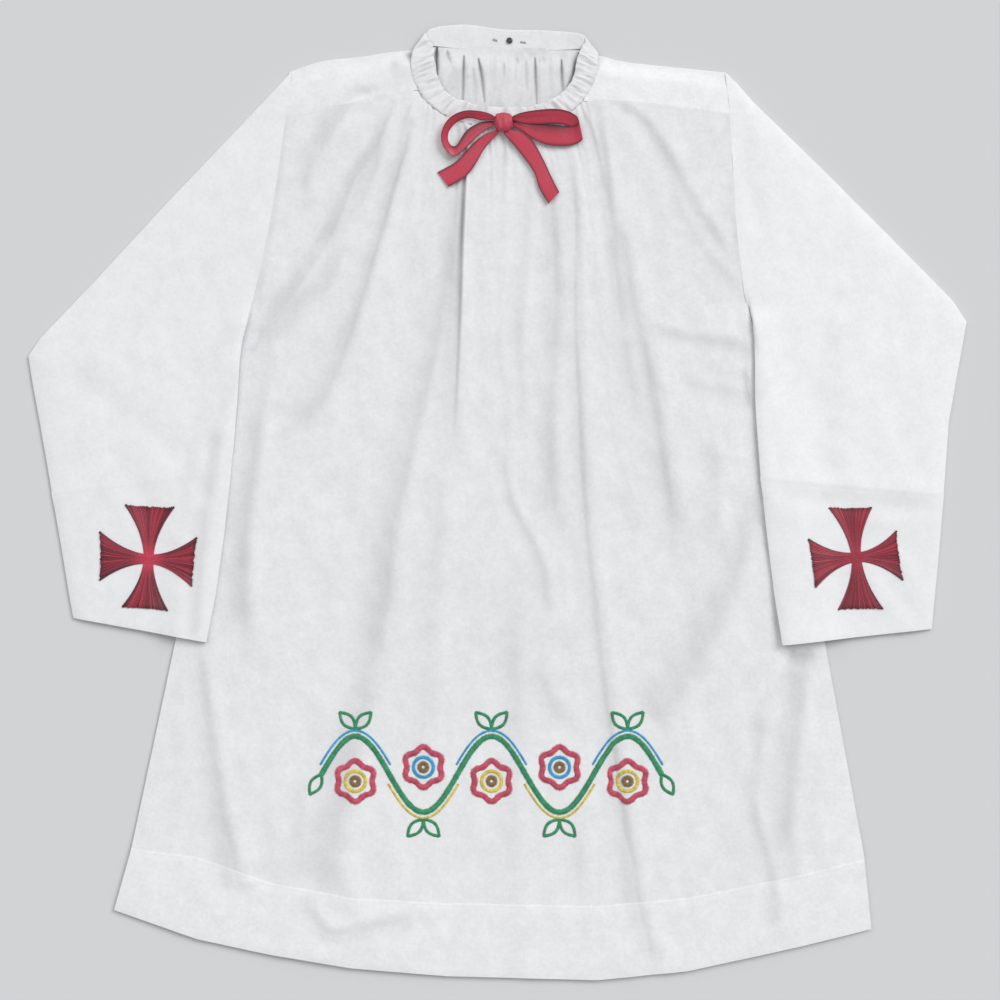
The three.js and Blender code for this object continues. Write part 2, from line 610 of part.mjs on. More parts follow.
function ribbon(stations, steps) {
  const [a, b] = ["a", "b"].map((edge) => curveOf(stations, edge));
  const middle = [];
  for (let r = 0; r <= steps; r++) {
    const [from, to] = [a.getPoint(r / steps), b.getPoint(r / steps)];
    middle.push([0, 1 / 3, 2 / 3, 1].map((share) => from.clone().lerp(to, share)));
  }
  return wallSolid(offsetGrid(middle, RIBBON / 2), offsetGrid(middle, -RIBBON / 2));
}

// The knot: a rounded block, a little waisted where the loops leave it.
const KNOT = { at: [5.8, 378.2, 15.2], half: [10.4, 9.6, 4.2] };
function knot() {
  const geometry = new THREE.SphereGeometry(1, 20, 12);
  const position = geometry.getAttribute("position");
  const squared = (v) => Math.sign(v) * Math.abs(v) ** 0.6;
  for (let i = 0; i < position.count; i++) {
    const [x, y, z] = [position.getX(i), position.getZ(i), position.getY(i)].map(squared);
    position.setXYZ(
      i,
      KNOT.at[0] + KNOT.half[0] * x * (1 - 0.06 * y * y),
      KNOT.at[1] - KNOT.half[1] * y,
      KNOT.at[2] + KNOT.half[2] * z,
    );
  }
  return geometry;
}

const group = new THREE.Group();
group.name = "rochet";
const COTTON = { color: 0xeeeef0, roughness: 0.85, metalness: 0 };
const DOUBLE_COTTON = { color: 0xf4f4f6, roughness: 0.8, metalness: 0 };

function add(name, geometry, look) {
  const mesh = new THREE.Mesh(geometry, new THREE.MeshStandardMaterial(look));
  mesh.name = name;
  group.add(mesh);
}

add("back_body", backBody(), COTTON);
add("front_body", frontBody(), COTTON);
add("hem_back", hemBack(), DOUBLE_COTTON);
add("hem_front", hemFront(), DOUBLE_COTTON);
for (const side of ["left", "right"]) {
  add(`strap_${side}`, strap(side), COTTON);
  add(`sleeve_${side}`, sleeve(side), COTTON);
  add(`cuff_${side}`, cuff(side), DOUBLE_COTTON);
}
add("neckband", neckband(), DOUBLE_COTTON);
add("neck_stud", stud(), { color: 0x3c3a3c, roughness: 0.4, metalness: 0 });
const SATIN = { color: 0xc94256, roughness: 0.45, metalness: 0 };
for (const [name, stations] of Object.entries(RIBBONS))
  add(name, ribbon(stations, name.includes("loop") ? 26 : 12), SATIN);
add("ribbon_knot", knot(), SATIN);

export default group;
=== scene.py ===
import math

import bpy
import numpy as np
from bpy.props import FloatProperty, FloatVectorProperty, IntProperty, PointerProperty
from bpy.types import Operator, Panel, PropertyGroup
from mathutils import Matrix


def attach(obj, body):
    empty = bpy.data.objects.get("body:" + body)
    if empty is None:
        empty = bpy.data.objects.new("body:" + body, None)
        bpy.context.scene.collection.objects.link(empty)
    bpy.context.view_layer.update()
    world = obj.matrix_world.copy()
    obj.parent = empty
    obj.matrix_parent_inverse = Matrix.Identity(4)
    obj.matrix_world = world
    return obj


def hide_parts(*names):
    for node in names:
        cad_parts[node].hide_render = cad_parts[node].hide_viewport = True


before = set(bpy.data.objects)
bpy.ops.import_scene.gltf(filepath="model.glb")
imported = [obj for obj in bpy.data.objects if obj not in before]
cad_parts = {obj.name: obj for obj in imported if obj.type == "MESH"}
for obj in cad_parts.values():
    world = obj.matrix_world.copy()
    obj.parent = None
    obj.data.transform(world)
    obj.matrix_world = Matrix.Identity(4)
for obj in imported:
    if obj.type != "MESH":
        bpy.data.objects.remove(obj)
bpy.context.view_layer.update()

bl_info = {
    "name": "Rochet",
    "version": (1, 0, 0),
    "blender": (4, 5, 0),
    "location": "3D View > Sidebar > Rochet",
    "description": "A white rochet laid flat, with embroidery and a ribbon bow, around its packed solids",
    "category": "Object",
}

MM = 0.001
BODY = "root"
SEED = 11

# ---------------------------------------------------------------------------------------------
# The cut of the garment in millimetres, the same as in the part's source
# ---------------------------------------------------------------------------------------------
SEAM = 0.3
FOLDED_EDGE = 3.0
HEM_HEIGHT = 4.6
UNDERARM_Y = 200.0
NECK_CENTRE = (7.5, 420.0)

BODY_EDGE_Y = [452, 429, 408, 386, 340, 290, 245, 200, -138, -350, -428]
BODY_LEFT = [-204, -208, -210.6, -213.8, -220.2, -228, -236.5, -247, -322, -367, -389]
BODY_RIGHT = [227, 230, 232.8, 235, 237.2, 240, 244.3, 250, 327, 366, 374]

HEM_X = [-389, -300, -230, -147, -50, 100, 190, 300, 374]
HEM_SEAM_Y = [-343, -354, -379, -395, -400, -403, -395, -373, -355]
HEM_EDGE_Y = [-406, -437, -452, -466, -474, -478, -469, -445, -427]

# Each strap's fold and seam, and spots of painted shade: darkness, half width, x, y.
STRAPS = {
    "left": {
        "fold": [(-89.5, 451.5), (-112, 449), (-138, 445), (-178, 440), (-208, 430)],
        "seam": [(-84, 414), (-110, 408), (-142, 400), (-182, 393), (-213.5, 386)],
        "shade": [(0.45, 3.4, -88.5, 446.5), (0.16, 5, -103, 437), (0.06, 9, -95, 428)],
    },
    "right": {
        "fold": [(103.5, 446.5), (122, 441), (152, 437), (192, 433), (229.7, 429)],
        "seam": [(92, 403), (122, 401), (150, 399), (192, 394), (234.5, 388)],
        "shade": [(0.05, 7, 104, 430)],
    },
}

# Once round the neckband: free edge, sewn edge, height of its middle.
NECKBAND = [
    ((7.5, 473), (7.5, 452), 1.5),
    ((-37.5, 477.9), (-37.5, 454), 1.5),
    ((-71, 470), (-81.5, 454.5), 5.0),
    ((-64, 453), (-86, 444), 8.6),
    ((-61.5, 430), (-83.5, 422), 8.8),
    ((-49.5, 408), (-65.5, 395), 8.8),
    ((-25.5, 398), (-33.5, 379), 8.8),
    ((7.5, 394), (7.5, 374), 8.8),
    ((42.5, 397), (52.5, 378), 8.8),
    ((64.5, 409), (80.5, 396), 8.8),
    ((76.5, 427), (96.5, 420), 8.8),
    ((80.5, 448), (100.5, 439), 8.6),
    ((87.5, 465), (98.5, 450.5), 5.0),
    ((50.5, 472), (50.5, 452), 1.5),
]
FRONT_SHARE = (4.28 / 14, 9.42 / 14)
BAND_LENGTH = 500.0

SLEEVES = {
    "left": [
        ((-247, 200), (-208, 430)),
        ((-251, 181), (-257, 378)),
        ((-255.5, 162), (-330, 301)),
        ((-257.5, 140), (-402, 222)),
        ((-258.5, 122), (-457.5, 164)),
        ((-259.5, 104), (-469.5, 146)),
        ((-261, 86), (-465.5, 120)),
        ((-263, 60), (-456, 68)),
        ((-266, 31), (-446, 10)),
    ],
    "right": [
        ((250, 200), (230, 429)),
        ((254.6, 181), (256, 400)),
        ((256.6, 162), (318, 340)),
        ((257, 140), (394, 264)),
        ((257, 122), (456, 201)),
        ((257.2, 104), (469.5, 180)),
        ((258, 86), (460, 128)),
        ((260, 58), (451.5, 80)),
        ((262.5, 25), (446.5, 8)),
    ],
}
CUFFS = {
    "left": [
        ((-266, 31), (-446, 10)),
        ((-273, -35), (-436, -48)),
        ((-281, -92), (-429, -91)),
        ((-290.5, -140), (-424.5, -116)),
    ],
    "right": [
        ((262.5, 25), (446.5, 8)),
        ((269, -35), (442, -48)),
        ((276, -92), (437.5, -95)),
        ((284, -143), (434.5, -127)),
    ],
}

# Folds of the front: depth and half width at the upper and lower end, then the line they follow.
FOLDS = [
    ((3.3, 0.3), (1.7, 3.4), [(-32, 372), (-32.5, 340), (-36, 269), (-38.5, 197), (-42, 124), (-45, 60)]),
    ((2.6, 1.2), (7, 12), [(-39, 372), (-41, 300), (-45, 210), (-48, 120), (-50, 40)]),
    ((2.0, 1.2), (5, 12), [(-88, 376), (-111.6, 293), (-136, 210), (-159, 143), (-178, 100), (-210, 60)]),
    ((1.2, 0.5), (2.4, 5), [(-90, 368), (-111.6, 293), (-136, 210), (-159, 143), (-178, 100), (-210, 60)]),
    ((2.0, 1.4), (5, 8), [(-124, 410), (-144, 402), (-168, 372), (-186, 346), (-201, 299)]),
    ((2.2, 2.0), (3.5, 6), [(-106, 398), (-125, 352), (-148, 319), (-168, 270), (-198, 223), (-238, 170)]),
    ((1.1, 1.0), (4, 8), [(-114, 366), (-126, 330), (-146, 290), (-176, 243)]),
    ((1.6, 1.7), (6, 10), [(-158, 250), (-175, 216), (-206, 184), (-240, 150)]),
    ((0.9, 1.8), (9, 15), [(-45, 290), (-58, 203), (-74, 127), (-98, 34), (-112, -39), (-117, -95),
                           (-138, -202)]),
    ((0.5, 0.7), (4, 9), [(-52, 250), (-66, 150), (-94, 30), (-110, -40), (-116, -95), (-137, -200)]),
    ((2.4, 2.6), (14, 15), [(-138, -200), (-156, -270), (-167, -330), (-174, -392)]),
    ((1.0, 0.6), (8, 9), [(-200, -290), (-203, -330), (-198, -380)]),
    ((1.2, 0.5), (2.5, 4), [(6, 366), (6, 345), (3, 296)]),
    ((0.5, 0.6), (5, 6), [(-2, 175), (0, 137), (8, 94), (6, 60)]),
    ((1.1, 1.3), (5, 8), [(2, 44), (6, 20), (14, -8), (32, -42), (42, -70), (46, -120)]),
    ((0.6, 0.7), (6, 8), [(28, 340), (25, 243), (18, 150), (24, 60)]),
    ((1.6, 1.6), (7, 12), [(48, 330), (53, 283), (56, 190), (49, 100), (51, 27), (54, -30)]),
    ((1.0, 1.6), (7, 12), [(66, 350), (76, 283), (76, 190), (80, 94), (84, 11), (94, -94), (104, -188),
                           (123, -304), (134, -397), (148, -446), (152, -482)]),
    ((0.5, 0.6), (3, 5), [(72, 330), (77, 283), (76, 190), (80, 94), (84, 11), (94, -94), (104, -188),
                          (123, -304), (131, -392)]),
    ((1.8, 0.9), (4, 9), [(98, 392), (106, 342), (112, 286), (117, 226), (127, 143), (134, 80)]),
    ((1.0, 1.7), (7, 13), [(118, 285), (124, 256), (134, 197), (146, 143), (158, 77), (166, 20), (176, -50)]),
    ((0.4, 0.6), (4, 6), [(121, 270), (134, 197), (146, 143), (158, 77), (168, 10), (174, -64)]),
    ((1.4, 1.5), (6, 9), [(116, 398), (144, 379), (167, 346), (200, 286), (232, 244)]),
    ((0.7, 1.0), (5, 8), [(172, 310), (186, 280), (207, 246), (242, 213)]),
    ((1.0, 1.6), (7, 9), [(146, 172), (197, 160), (244, 154), (272, 146)]),
    ((0.8, 0.9), (7, 9), [(180, 120), (215, 110), (246, 104), (272, 98)]),
    ((2.2, 2.4), (9, 18), [(250, -6), (230, -85), (202, -141), (170, -200), (150, -226)]),
    ((1.0, 1.0), (8, 10), [(36, -170), (50, -200), (64, -224)]),
    ((2.2, 2.0), (9, 11), [(300, -156), (296, -220), (290, -257), (282, -374)]),
    ((1.0, 1.6), (7, 8), [(262, -202), (256, -260), (252, -304), (270, -376), (274, -440)]),
    ((1.8, 2.2), (8, 12), [(-302, -141), (-295, -200), (-287, -257), (-268, -369), (-262, -392)]),
    ((1.1, 1.6), (8, 11), [(-237, 142), (-242, 80), (-249, 28), (-255, -20), (-258, -62), (-256, -150)]),
    ((1.4, 1.6), (8, 9), [(-196, -400), (-170, -434), (-120, -426), (-80, -420)]),
    ((0.8, 0.8), (9, 9), [(74, -322), (78, -360), (81, -397)]),
    ((0.8, 0.8), (12, 16), [(-60, 40), (-66, -30), (-70, -120), (-80, -220), (-84, -300)]),
    ((0.8, 0.9), (10, 14), [(10, -110), (14, -200), (10, -300), (4, -390)]),
    ((0.8, 1.0), (10, 12), [(210, 60), (214, 0), (208, -50)]),
]
SHOULDER_SHARE = 0.36
SHOULDER_AT = 1.9
SOFT_SIDE = 1.25
CRISP_SIDE = 0.7
UNEVEN_FOLDS = 0.25
# How much painted shade each millimetre of fold depth gives the front's colour.
FOLD_PAINTED_SHADE = 0.064

# Painted shade on the front: narrow pleats and soft creases whose insides are in deep shade, the shade beside
# the sleeves' edges and under the right cuff, and broad grey patches. Shade and half width at both ends,
# line.
PAINTED_SHADE_LINES = [
    ((0.41, -0.06), (1.7, 3.4), [(-34, 345), (-34.5, 302), (-37.5, 242), (-38.5, 202), (-39.5, 162),
                                 (-43, 120)]),
    ((0.36, 0.05), (2.4, 4.5), [(85, 392), (92, 378), (96, 366), (99.5, 352), (104.5, 332), (108.5, 302)]),
    ((0.04, 0.04), (3.6, 3.4), [(230, 400), (232, 352), (235, 312), (240, 250), (243.5, 222)]),
    ((0.1, 0.1), (2.4, 2.4), [(236, 288), (239.5, 258)]),
    ((0.05, 0.05), (3.0, 4.5), [(244, 207), (247, 170), (251, 120), (256, 72), (261, 0), (270, -58),
                                (281, -140)]),
    ((0.2, 0.2), (2.6, 2.6), [(248, 134), (252, 96)]),
    ((0.14, 0.14), (3.0, 3.6), [(257, 50), (261, 0), (264, -24)]),
    ((0.1, 0.1), (2.4, 2.4), [(274, -92), (279, -126)]),
    ((0.3, 0.22), (6.5, 7.0), [(292, -150), (300, -153), (318, -149)]),
    ((0.08, 0.1), (4, 4.5), [(-208, 425), (-213, 380), (-216, 350), (-220, 312), (-226, 272), (-234, 232),
                             (-240, 196)]),
    ((0.03, 0.07), (12, 13), [(-238, 110), (-247, 50), (-252, 0), (-258, -60), (-258, -130)]),
    ((0.05, 0.05), (8, 8), [(-254, -50), (-257, -84), (-254, -110)]),
    ((0.06, 0.12), (2.0, 2.6), [(-234, 172), (-240, 158), (-246, 150)]),
    ((0.14, 0.05), (1.2, 1.6), [(9, 372), (8, 350), (6, 330)]),
    ((0.06, 0.03), (1.1, 1.6), [(1, 240), (2, 215), (4, 190)]),
    ((0.14, 0.05), (2.0, 3.0), [(-86, 398), (-92, 380), (-98, 350)]),
    ((0.03, 0.0), (34, 40), [(-120, 350), (-160, 280), (-190, 220)]),
    ((0.03, 0.035), (40, 50), [(10, -40), (20, -120), (30, -200)]),
]

# At a seam one piece runs on under the other, whose edge is thin and a little higher.
TUCK = 2.4
STEP = {"hem": 0.3, "cuff": 0.06, "left": 0.04, "right": 0.08, "strap": 0.14}
THIN_EDGE = 0.3
EDGE_RUN = 4.0
NECK_TUCK = 0.12

# Dark pleat edges that show inside the neck, on the back, with painted shade in their hollows: depth, half
# width, line.
PLEAT_PAINTED_SHADE = 0.16
PLEAT_DEPTH = 0.35
BACK_PLEATS = [
    (5.2, 2.3, [(-60.5, 455), (-61, 442), (-60, 428)]),
    (2.6, 2.2, [(-50, 451), (-49, 446), (-46.5, 440)]),
    (3.5, 1.9, [(-33.5, 446), (-34.2, 424), (-35, 396)]),
    (3.6, 2.1, [(-19, 443), (-15.5, 424), (-13, 400)]),
    (0.9, 3.6, [(-24, 432), (-22, 412), (-22, 402)]),
    (1.2, 1.8, [(6.5, 438), (6.5, 425)]),
    (1.4, 1.8, [(19.5, 444), (21, 438)]),
    (1.1, 2.4, [(28.5, 441), (29.5, 412)]),
    (3.2, 2.0, [(37.5, 444), (38.5, 420), (39.5, 396)]),
    (1.2, 1.8, [(46, 445), (47, 440)]),
    (3.5, 2.0, [(64, 442), (64.5, 424), (66, 409)]),
    (4.9, 2.4, [(84, 453), (79.5, 440), (76.5, 427), (70, 413)]),
    (0.4, 2.4, [(-2, 446), (-4, 420), (-4, 400)]),
    (0.4, 2.4, [(53, 446), (54, 420), (55, 402)]),
    (1.0, 4.0, [(-74, 436), (-66, 420), (-54, 404)]),
]

RIBBONS = {
    "ribbon_loop_left": [
        ((-5.4, 385.5, 17.6), (-5.4, 379.5, 15)),
        ((-16, 388.2, 18.6), (-15, 380, 14.4)),
        ((-30, 389, 19), (-28, 382.5, 13)),
        ((-41, 386, 19), (-38, 380, 12.2)),
        ((-50, 379, 18.5), (-45, 374.5, 11.8)),
        ((-55, 369, 18), (-49, 368, 11.6)),
        ((-55.5, 359, 17.5), (-49.5, 361, 11.6)),
        ((-51, 350, 17), (-46.5, 355.5, 11.6)),
        ((-43.5, 344, 15.6), (-42, 354.5, 11.6)),
        ((-35, 349, 15.4), (-36.5, 362, 11.6)),
        ((-26, 358, 15.2), (-30, 371, 11.8)),
        ((-15, 368.5, 13.6), (-18, 378, 11.9)),
        ((-5.4, 374, 13.2), (-5.4, 380, 12)),
    ],
    "ribbon_loop_right": [
        ((16.9, 385, 17.6), (16.9, 379, 14.7)),
        ((26, 387.5, 18.6), (27, 377, 13.6)),
        ((40, 389.5, 19.5), (41, 376.5, 13)),
        ((58, 390.5, 19.5), (58, 377, 12.6)),
        ((71, 388, 19), (72, 374.5, 12.2)),
        ((79.5, 382.5, 18.5), (82, 368, 11.9)),
        ((80.5, 376.5, 18.2), (84.5, 361.5, 11.7)),
        ((73, 375, 12.6), (77.5, 356.6, 11.6)),
        ((57, 376, 12.4), (61, 354.8, 11.6)),
        ((42, 377.5, 12.4), (46, 357.2, 11.6)),
        ((30, 379, 12.6), (33, 363.8, 11.8)),
        ((23, 379.5, 14), (24.5, 369.8, 12)),
        ((16.9, 381.3, 13.3), (17.2, 373, 12.1)),
    ],
    "ribbon_tail_left": [
        ((-2.6, 369.6, 13), (0.4, 366.8, 13)),
        ((-9.5, 368, 12), (-5.5, 361, 12)),
        ((-20, 361.5, 10.6), (-14, 350.5, 11)),
        ((-30, 351.5, 10.3), (-21.5, 337.5, 10.7)),
        ((-41.5, 339.5, 10.1), (-31, 325.2, 10.2)),
        ((-60, 329, 9.4), (-48.6, 314.4, 9.4)),
    ],
    "ribbon_tail_right": [
        ((6.5, 366.8, 13), (15.5, 370.6, 13)),
        ((12, 360.5, 12.2), (23, 369.5, 12.4)),
        ((24.5, 345.5, 11), (35, 360, 11.2)),
        ((36.5, 328.5, 10.4), (46, 341, 10.6)),
        ((41.5, 313.5, 10.2), (54.5, 323, 10.2)),
        ((50.9, 297.6, 10), (61.6, 309, 10)),
    ],
}
# The ribbon's wall in millimetres, then the knot's middle and its half sizes.
RIBBON_WALL = 0.64
KNOT_AT = (5.8, 378.2, 15.2)
KNOT_HALF = (11.2, 9.8, 5.0)

# The stud on the neckband, and two short bars of grey thread beside it.
STUD_AT = (12.0, 461.5)
TACKS = [[(-4.5, 462.8), (-0.5, 461.5)], [(23, 460.2), (28, 459.6)]]
TACK_COLOUR = (0.33, 0.33, 0.35)

# Crosses on the cuffs: how dark the middle and the arms are, the middle, the arms' outer corners.
CROSSES = {
    "left": {
        "waist": -0.65,
        "grey": 0.3,
        "middle": (-348.5, -57),
        "arms": [
            ((-372.5, -3.5), (-322, -6)),
            ((-300.5, -34.5), (-305.5, -85)),
            ((-328.5, -108), (-375.5, -104.5)),
            ((-396.5, -79), (-396.5, -29)),
        ],
    },
    "right": {
        "waist": -0.1,
        "grey": 0.2,
        "middle": (358.5, -55),
        "arms": [
            ((330.5, -6), (374.5, -6)),
            ((397.5, -28), (404.5, -79)),
            ((385.5, -106), (339.5, -107)),
            ((317.5, -86), (310.5, -36)),
        ],
    },
}

# Hem design: a stem in waves, leaves in pairs on the outside of its bends and a flower in each bay.
DESIGN_AT = (-6.0, -272.0)
STEM = {"wave": 136.0, "high": 38.0, "bends": 5, "second_off": 5.6, "second_trim": 0.06, "points": 54}
LEAVES = {"from_stem": 7.0, "long": 23.0, "half_wide": 5.5, "turns": (-0.75, 0.75)}
FLOWERS = {"off": 7.0, "petals": 6, "petal_deep": 2.1, "rose": 18.5, "second": 10.0, "brown": 4.0}

# How light each piece of cotton is beside the front: doubled cloth lets less of the ground through. The
# pieces on the right are also painted lighter than their twins on the left: painted light, as if the lamp on
# that side lit them more.
TINTS = {"front": 1.01, "back": 0.97, "hem": 1.025, "sleeve_left": 1.035, "sleeve_right": 1.085,
         "cuff_left": 1.02, "cuff_right": 1.045, "strap_left": 1.03, "strap_right": 1.095, "neckband": 1.0}


# ---------------------------------------------------------------------------------------------
# What a user would change
# ---------------------------------------------------------------------------------------------
class RochetCloth(PropertyGroup):
    """Sizes of the cloth and its folds"""

    wall: FloatProperty(name="Cloth wall", description="Thickness of a single layer",
                        default=0.0009, unit="LENGTH")
    doubled_wall: FloatProperty(name="Doubled wall", description="Thickness where the cloth is folded double",
                                default=0.0018, unit="LENGTH")
    plain_height: FloatProperty(name="Height of the front",
                                description="Height of the front above the surface",
                                default=0.006, unit="LENGTH")
    fold_depth: FloatProperty(name="Fold depth",
                              description="Depth of the long folds, as a share of the pattern's",
                              default=1.15, subtype="FACTOR")
    gather_height: FloatProperty(name="Gather height", description="Height of the gathers at the neckband",
                                 default=0.0012, unit="LENGTH")
    wrinkle_height: FloatProperty(name="Wrinkle height", description="Height of the fine wrinkles all over",
                                  default=0.00035, unit="LENGTH")


class RochetColours(PropertyGroup):
    """Colours of the cloth, the ribbon and the threads"""

    cotton: FloatVectorProperty(name="Cotton", description="White cotton of the front", subtype="COLOR",
                                size=3, default=(0.7, 0.7055, 0.72), min=0, max=1)
    ribbon: FloatVectorProperty(name="Ribbon", description="Satin ribbon", subtype="COLOR", size=3,
                                default=(0.46, 0.036, 0.07), min=0, max=1)
    red: FloatVectorProperty(name="Dark red thread", description="Crosses on the cuffs", subtype="COLOR",
                             size=3, default=(0.3, 0.022, 0.045), min=0, max=1)
    rose: FloatVectorProperty(name="Rose thread", description="Petals of the hem's flowers", subtype="COLOR",
                              size=3, default=(0.46, 0.055, 0.1), min=0, max=1)
    green: FloatVectorProperty(name="Green thread", description="Stem and leaves of the hem", subtype="COLOR",
                               size=3, default=(0.02, 0.23, 0.1), min=0, max=1)
    blue: FloatVectorProperty(name="Blue thread", description="Second colour of upper bends, ring in flowers",
                              subtype="COLOR", size=3, default=(0.02, 0.3, 0.55), min=0, max=1)
    gold: FloatVectorProperty(name="Gold thread", description="Second colour of lower bends, ring in flowers",
                              subtype="COLOR", size=3, default=(0.6, 0.48, 0.06), min=0, max=1)
    brown: FloatVectorProperty(name="Brown thread", description="Middles of the flowers", subtype="COLOR",
                               size=3, default=(0.2, 0.115, 0.035), min=0, max=1)
    stud: FloatVectorProperty(name="Stud", description="Stud on the neckband", subtype="COLOR", size=3,
                              default=(0.04, 0.038, 0.042), min=0, max=1)
    floor: FloatVectorProperty(name="Floor", description="Plain floor", subtype="COLOR", size=3,
                               default=(0.58, 0.585, 0.596), min=0, max=1)


class RochetThreads(PropertyGroup):
    """Sizes of the embroidery and the sewing"""

    satin_width: FloatProperty(name="Satin line width", description="Width of the widest embroidered line",
                               default=0.008, unit="LENGTH")
    satin_pitch: FloatProperty(name="Satin pitch", description="Distance between satin stitches",
                               default=0.00105, unit="LENGTH")
    thread: FloatProperty(name="Thread", description="Thickness of an embroidery thread",
                          default=0.0011, unit="LENGTH")
    cross_threads: IntProperty(name="Threads in a cross arm", description="Threads fanned out in one arm",
                               default=26, min=4, max=80)
    seam_pitch: FloatProperty(name="Seam pitch", description="Distance between machine stitches",
                              default=0.003, unit="LENGTH")
    seam_thread: FloatProperty(name="Seam thread", description="Thickness of the sewing thread",
                               default=0.0004, unit="LENGTH")


class RochetStage(PropertyGroup):
    """Floor, light and camera"""

    lens: FloatProperty(name="Lens", description="Focal length in millimetres", default=85.0, min=10, max=300)
    width: FloatProperty(name="Picture width", description="Width of the view at the cloth's height",
                         default=1.0, unit="LENGTH")
    sky: FloatProperty(name="Sky", description="Strength of the even light from all round",
                       default=0.5, min=0)
    key: FloatProperty(name="Key light", description="Strength of the main lamp", default=1.95, min=0)
    fill: FloatProperty(name="Fill light", description="Strength of the second lamp", default=0.7, min=0)


def settings(name):
    return getattr(bpy.context.scene, "rochet_" + name)


# ---------------------------------------------------------------------------------------------
# Small tools
# ---------------------------------------------------------------------------------------------
def smooth(t):
    t = np.clip(t, 0.0, 1.0)
    return t * t * (3.0 - 2.0 * t)


def rise(distance, over):
    return 1.0 - np.exp(-np.maximum(distance, 0.0) / over)


def mix(a, b, t):
    return a + (b - a) * t


def spline(points, at, closed=False):
    """Points on a centripetal curve through the given ones, at shares 0 to 1."""
    p = np.asarray(points, float)
    n = len(p)
    place = np.atleast_1d(np.asarray(at, float)) * (n if closed else n - 1)
    i = np.floor(place).astype(int)
    if not closed:
        i = np.clip(i, 0, n - 2)
    w = (place - i)[:, None]
    if closed:
        p0, p1, p2, p3 = (p[(i + k) % n] for k in (-1, 0, 1, 2))
    else:
        ext = np.vstack([2 * p[0] - p[1], p, 2 * p[-1] - p[-2]])
        p0, p1, p2, p3 = (ext[i + k] for k in (0, 1, 2, 3))
    d0, d1, d2 = (np.maximum(np.sqrt(np.linalg.norm(b - a, axis=1)), 1e-4)[:, None]
                  for a, b in ((p0, p1), (p1, p2), (p2, p3)))
    t1 = ((p1 - p0) / d0 - (p2 - p0) / (d0 + d1) + (p2 - p1) / d1) * d1
    t2 = ((p2 - p1) / d1 - (p3 - p1) / (d1 + d2) + (p3 - p2) / d2) * d1
    c2 = -3 * p1 + 3 * p2 - 2 * t1 - t2
    c3 = 2 * p1 - 2 * p2 + t1 + t2
    return p1 + t1 * w + c2 * w ** 2 + c3 * w ** 3


def nearest_on(line, x, y):
    """Distance of each point to a line, the share of its length at the nearest place, and the side.

    The side is 1 to the left of a line that runs down, and -1 to its right.
    """
    best = np.full(x.shape, 1e9)
    share = np.zeros(x.shape)
    side = np.ones(x.shape)
    count = len(line) - 1
    for k in range(count):
        (ax, ay), (bx, by) = line[k], line[k + 1]
        dx, dy = bx - ax, by - ay
        t = np.clip(((x - ax) * dx + (y - ay) * dy) / (dx * dx + dy * dy), 0, 1)
        d = np.hypot(x - ax - t * dx, y - ay - t * dy)
        nearer = d < best
        best = np.where(nearer, d, best)
        share = np.where(nearer, (k + t) / count, share)
        side = np.where(nearer, np.where((x - ax) * dy > (y - ay) * dx, 1, -1), side)
    return best, share, side


def cloud(x, y, size, seed):
    """Soft random heights from -1 to 1, about size millimetres from one to the next."""
    rng = np.random.default_rng(seed)
    field = rng.uniform(-1, 1, (64, 64))
    u, v = x / size + 31.7, y / size + 17.3
    i, j = np.floor(u).astype(int), np.floor(v).astype(int)
    s, t = smooth(u - i), smooth(v - j)
    a, b = field[i % 64, j % 64], field[(i + 1) % 64, j % 64]
    c, d = field[i % 64, (j + 1) % 64], field[(i + 1) % 64, (j + 1) % 64]
    return mix(mix(a, b, s), mix(c, d, s), t)


def wrinkles(x, y, seed):
    """Fine creases of worn cotton: two sizes of soft cloud, drawn out along the cloth."""
    soft = cloud(x + 0.3 * y, y * 0.45, 26, seed) + 0.6 * cloud(x, y * 0.6, 11, seed + 1)
    return soft + 0.35 * cloud(x - 0.4 * y, y, 6, seed + 2)


# ---------------------------------------------------------------------------------------------
# Height of the front
# ---------------------------------------------------------------------------------------------
def body_left(y):
    return np.interp(-np.asarray(y, float), [-v for v in BODY_EDGE_Y], BODY_LEFT)


def body_right(y):
    return np.interp(-np.asarray(y, float), [-v for v in BODY_EDGE_Y], BODY_RIGHT)


def hem_seam(x):
    return np.interp(x, HEM_X, HEM_SEAM_Y)


def hem_edge(x):
    return np.interp(x, HEM_X, HEM_EDGE_Y)


def inside_body(x, y):
    return np.minimum(x - body_left(y), body_right(y) - x)


def edge_height(y):
    plain = settings("cloth").plain_height / MM
    armhole = (plain - FOLDED_EDGE) * rise(y - UNDERARM_Y, 14) * rise(430 - y, 14)
    return FOLDED_EDGE + armhole + (HEM_HEIGHT - FOLDED_EDGE) * smooth((-320 - y) / 40)


def along_lines(x, y, rows, profile):
    """Adds up profile(strength, distance in half widths) over rows of strengths, half widths and a line."""
    total = np.zeros(np.shape(x))
    for strength, half, line in rows:
        points = spline(line, np.linspace(0, 1, 4 * len(line)))
        reach = 4.2 * max(half)
        low, high = points.min(0) - reach, points.max(0) + reach
        near = (x > low[0]) & (x < high[0]) & (y > low[1]) & (y < high[1])
        if not near.any():
            continue
        distance, share, side = nearest_on(points, x[near], y[near])
        ends = smooth(share / 0.12) * smooth((1 - share) / 0.12)
        # Towards the ends both sides grow alike, so that they meet without a step beyond them.
        lean = mix(1.0, np.where(side > 0, SOFT_SIDE, CRISP_SIDE), ends)
        off = distance / mix(half[0], half[1], share) / lean
        uneven = 1 + UNEVEN_FOLDS * cloud(x[near], y[near], 36, SEED + 90)
        total[near] += profile(mix(strength[0], strength[1], share) * (0.35 + 0.65 * ends) * uneven, off)
    return total


def fold_height(x, y):
    def trough(deep, off):
        return deep * (SHOULDER_SHARE * np.exp(-((off - SHOULDER_AT) ** 2)) - np.exp(-off * off))

    return along_lines(x, y, FOLDS, trough) * settings("cloth").fold_depth


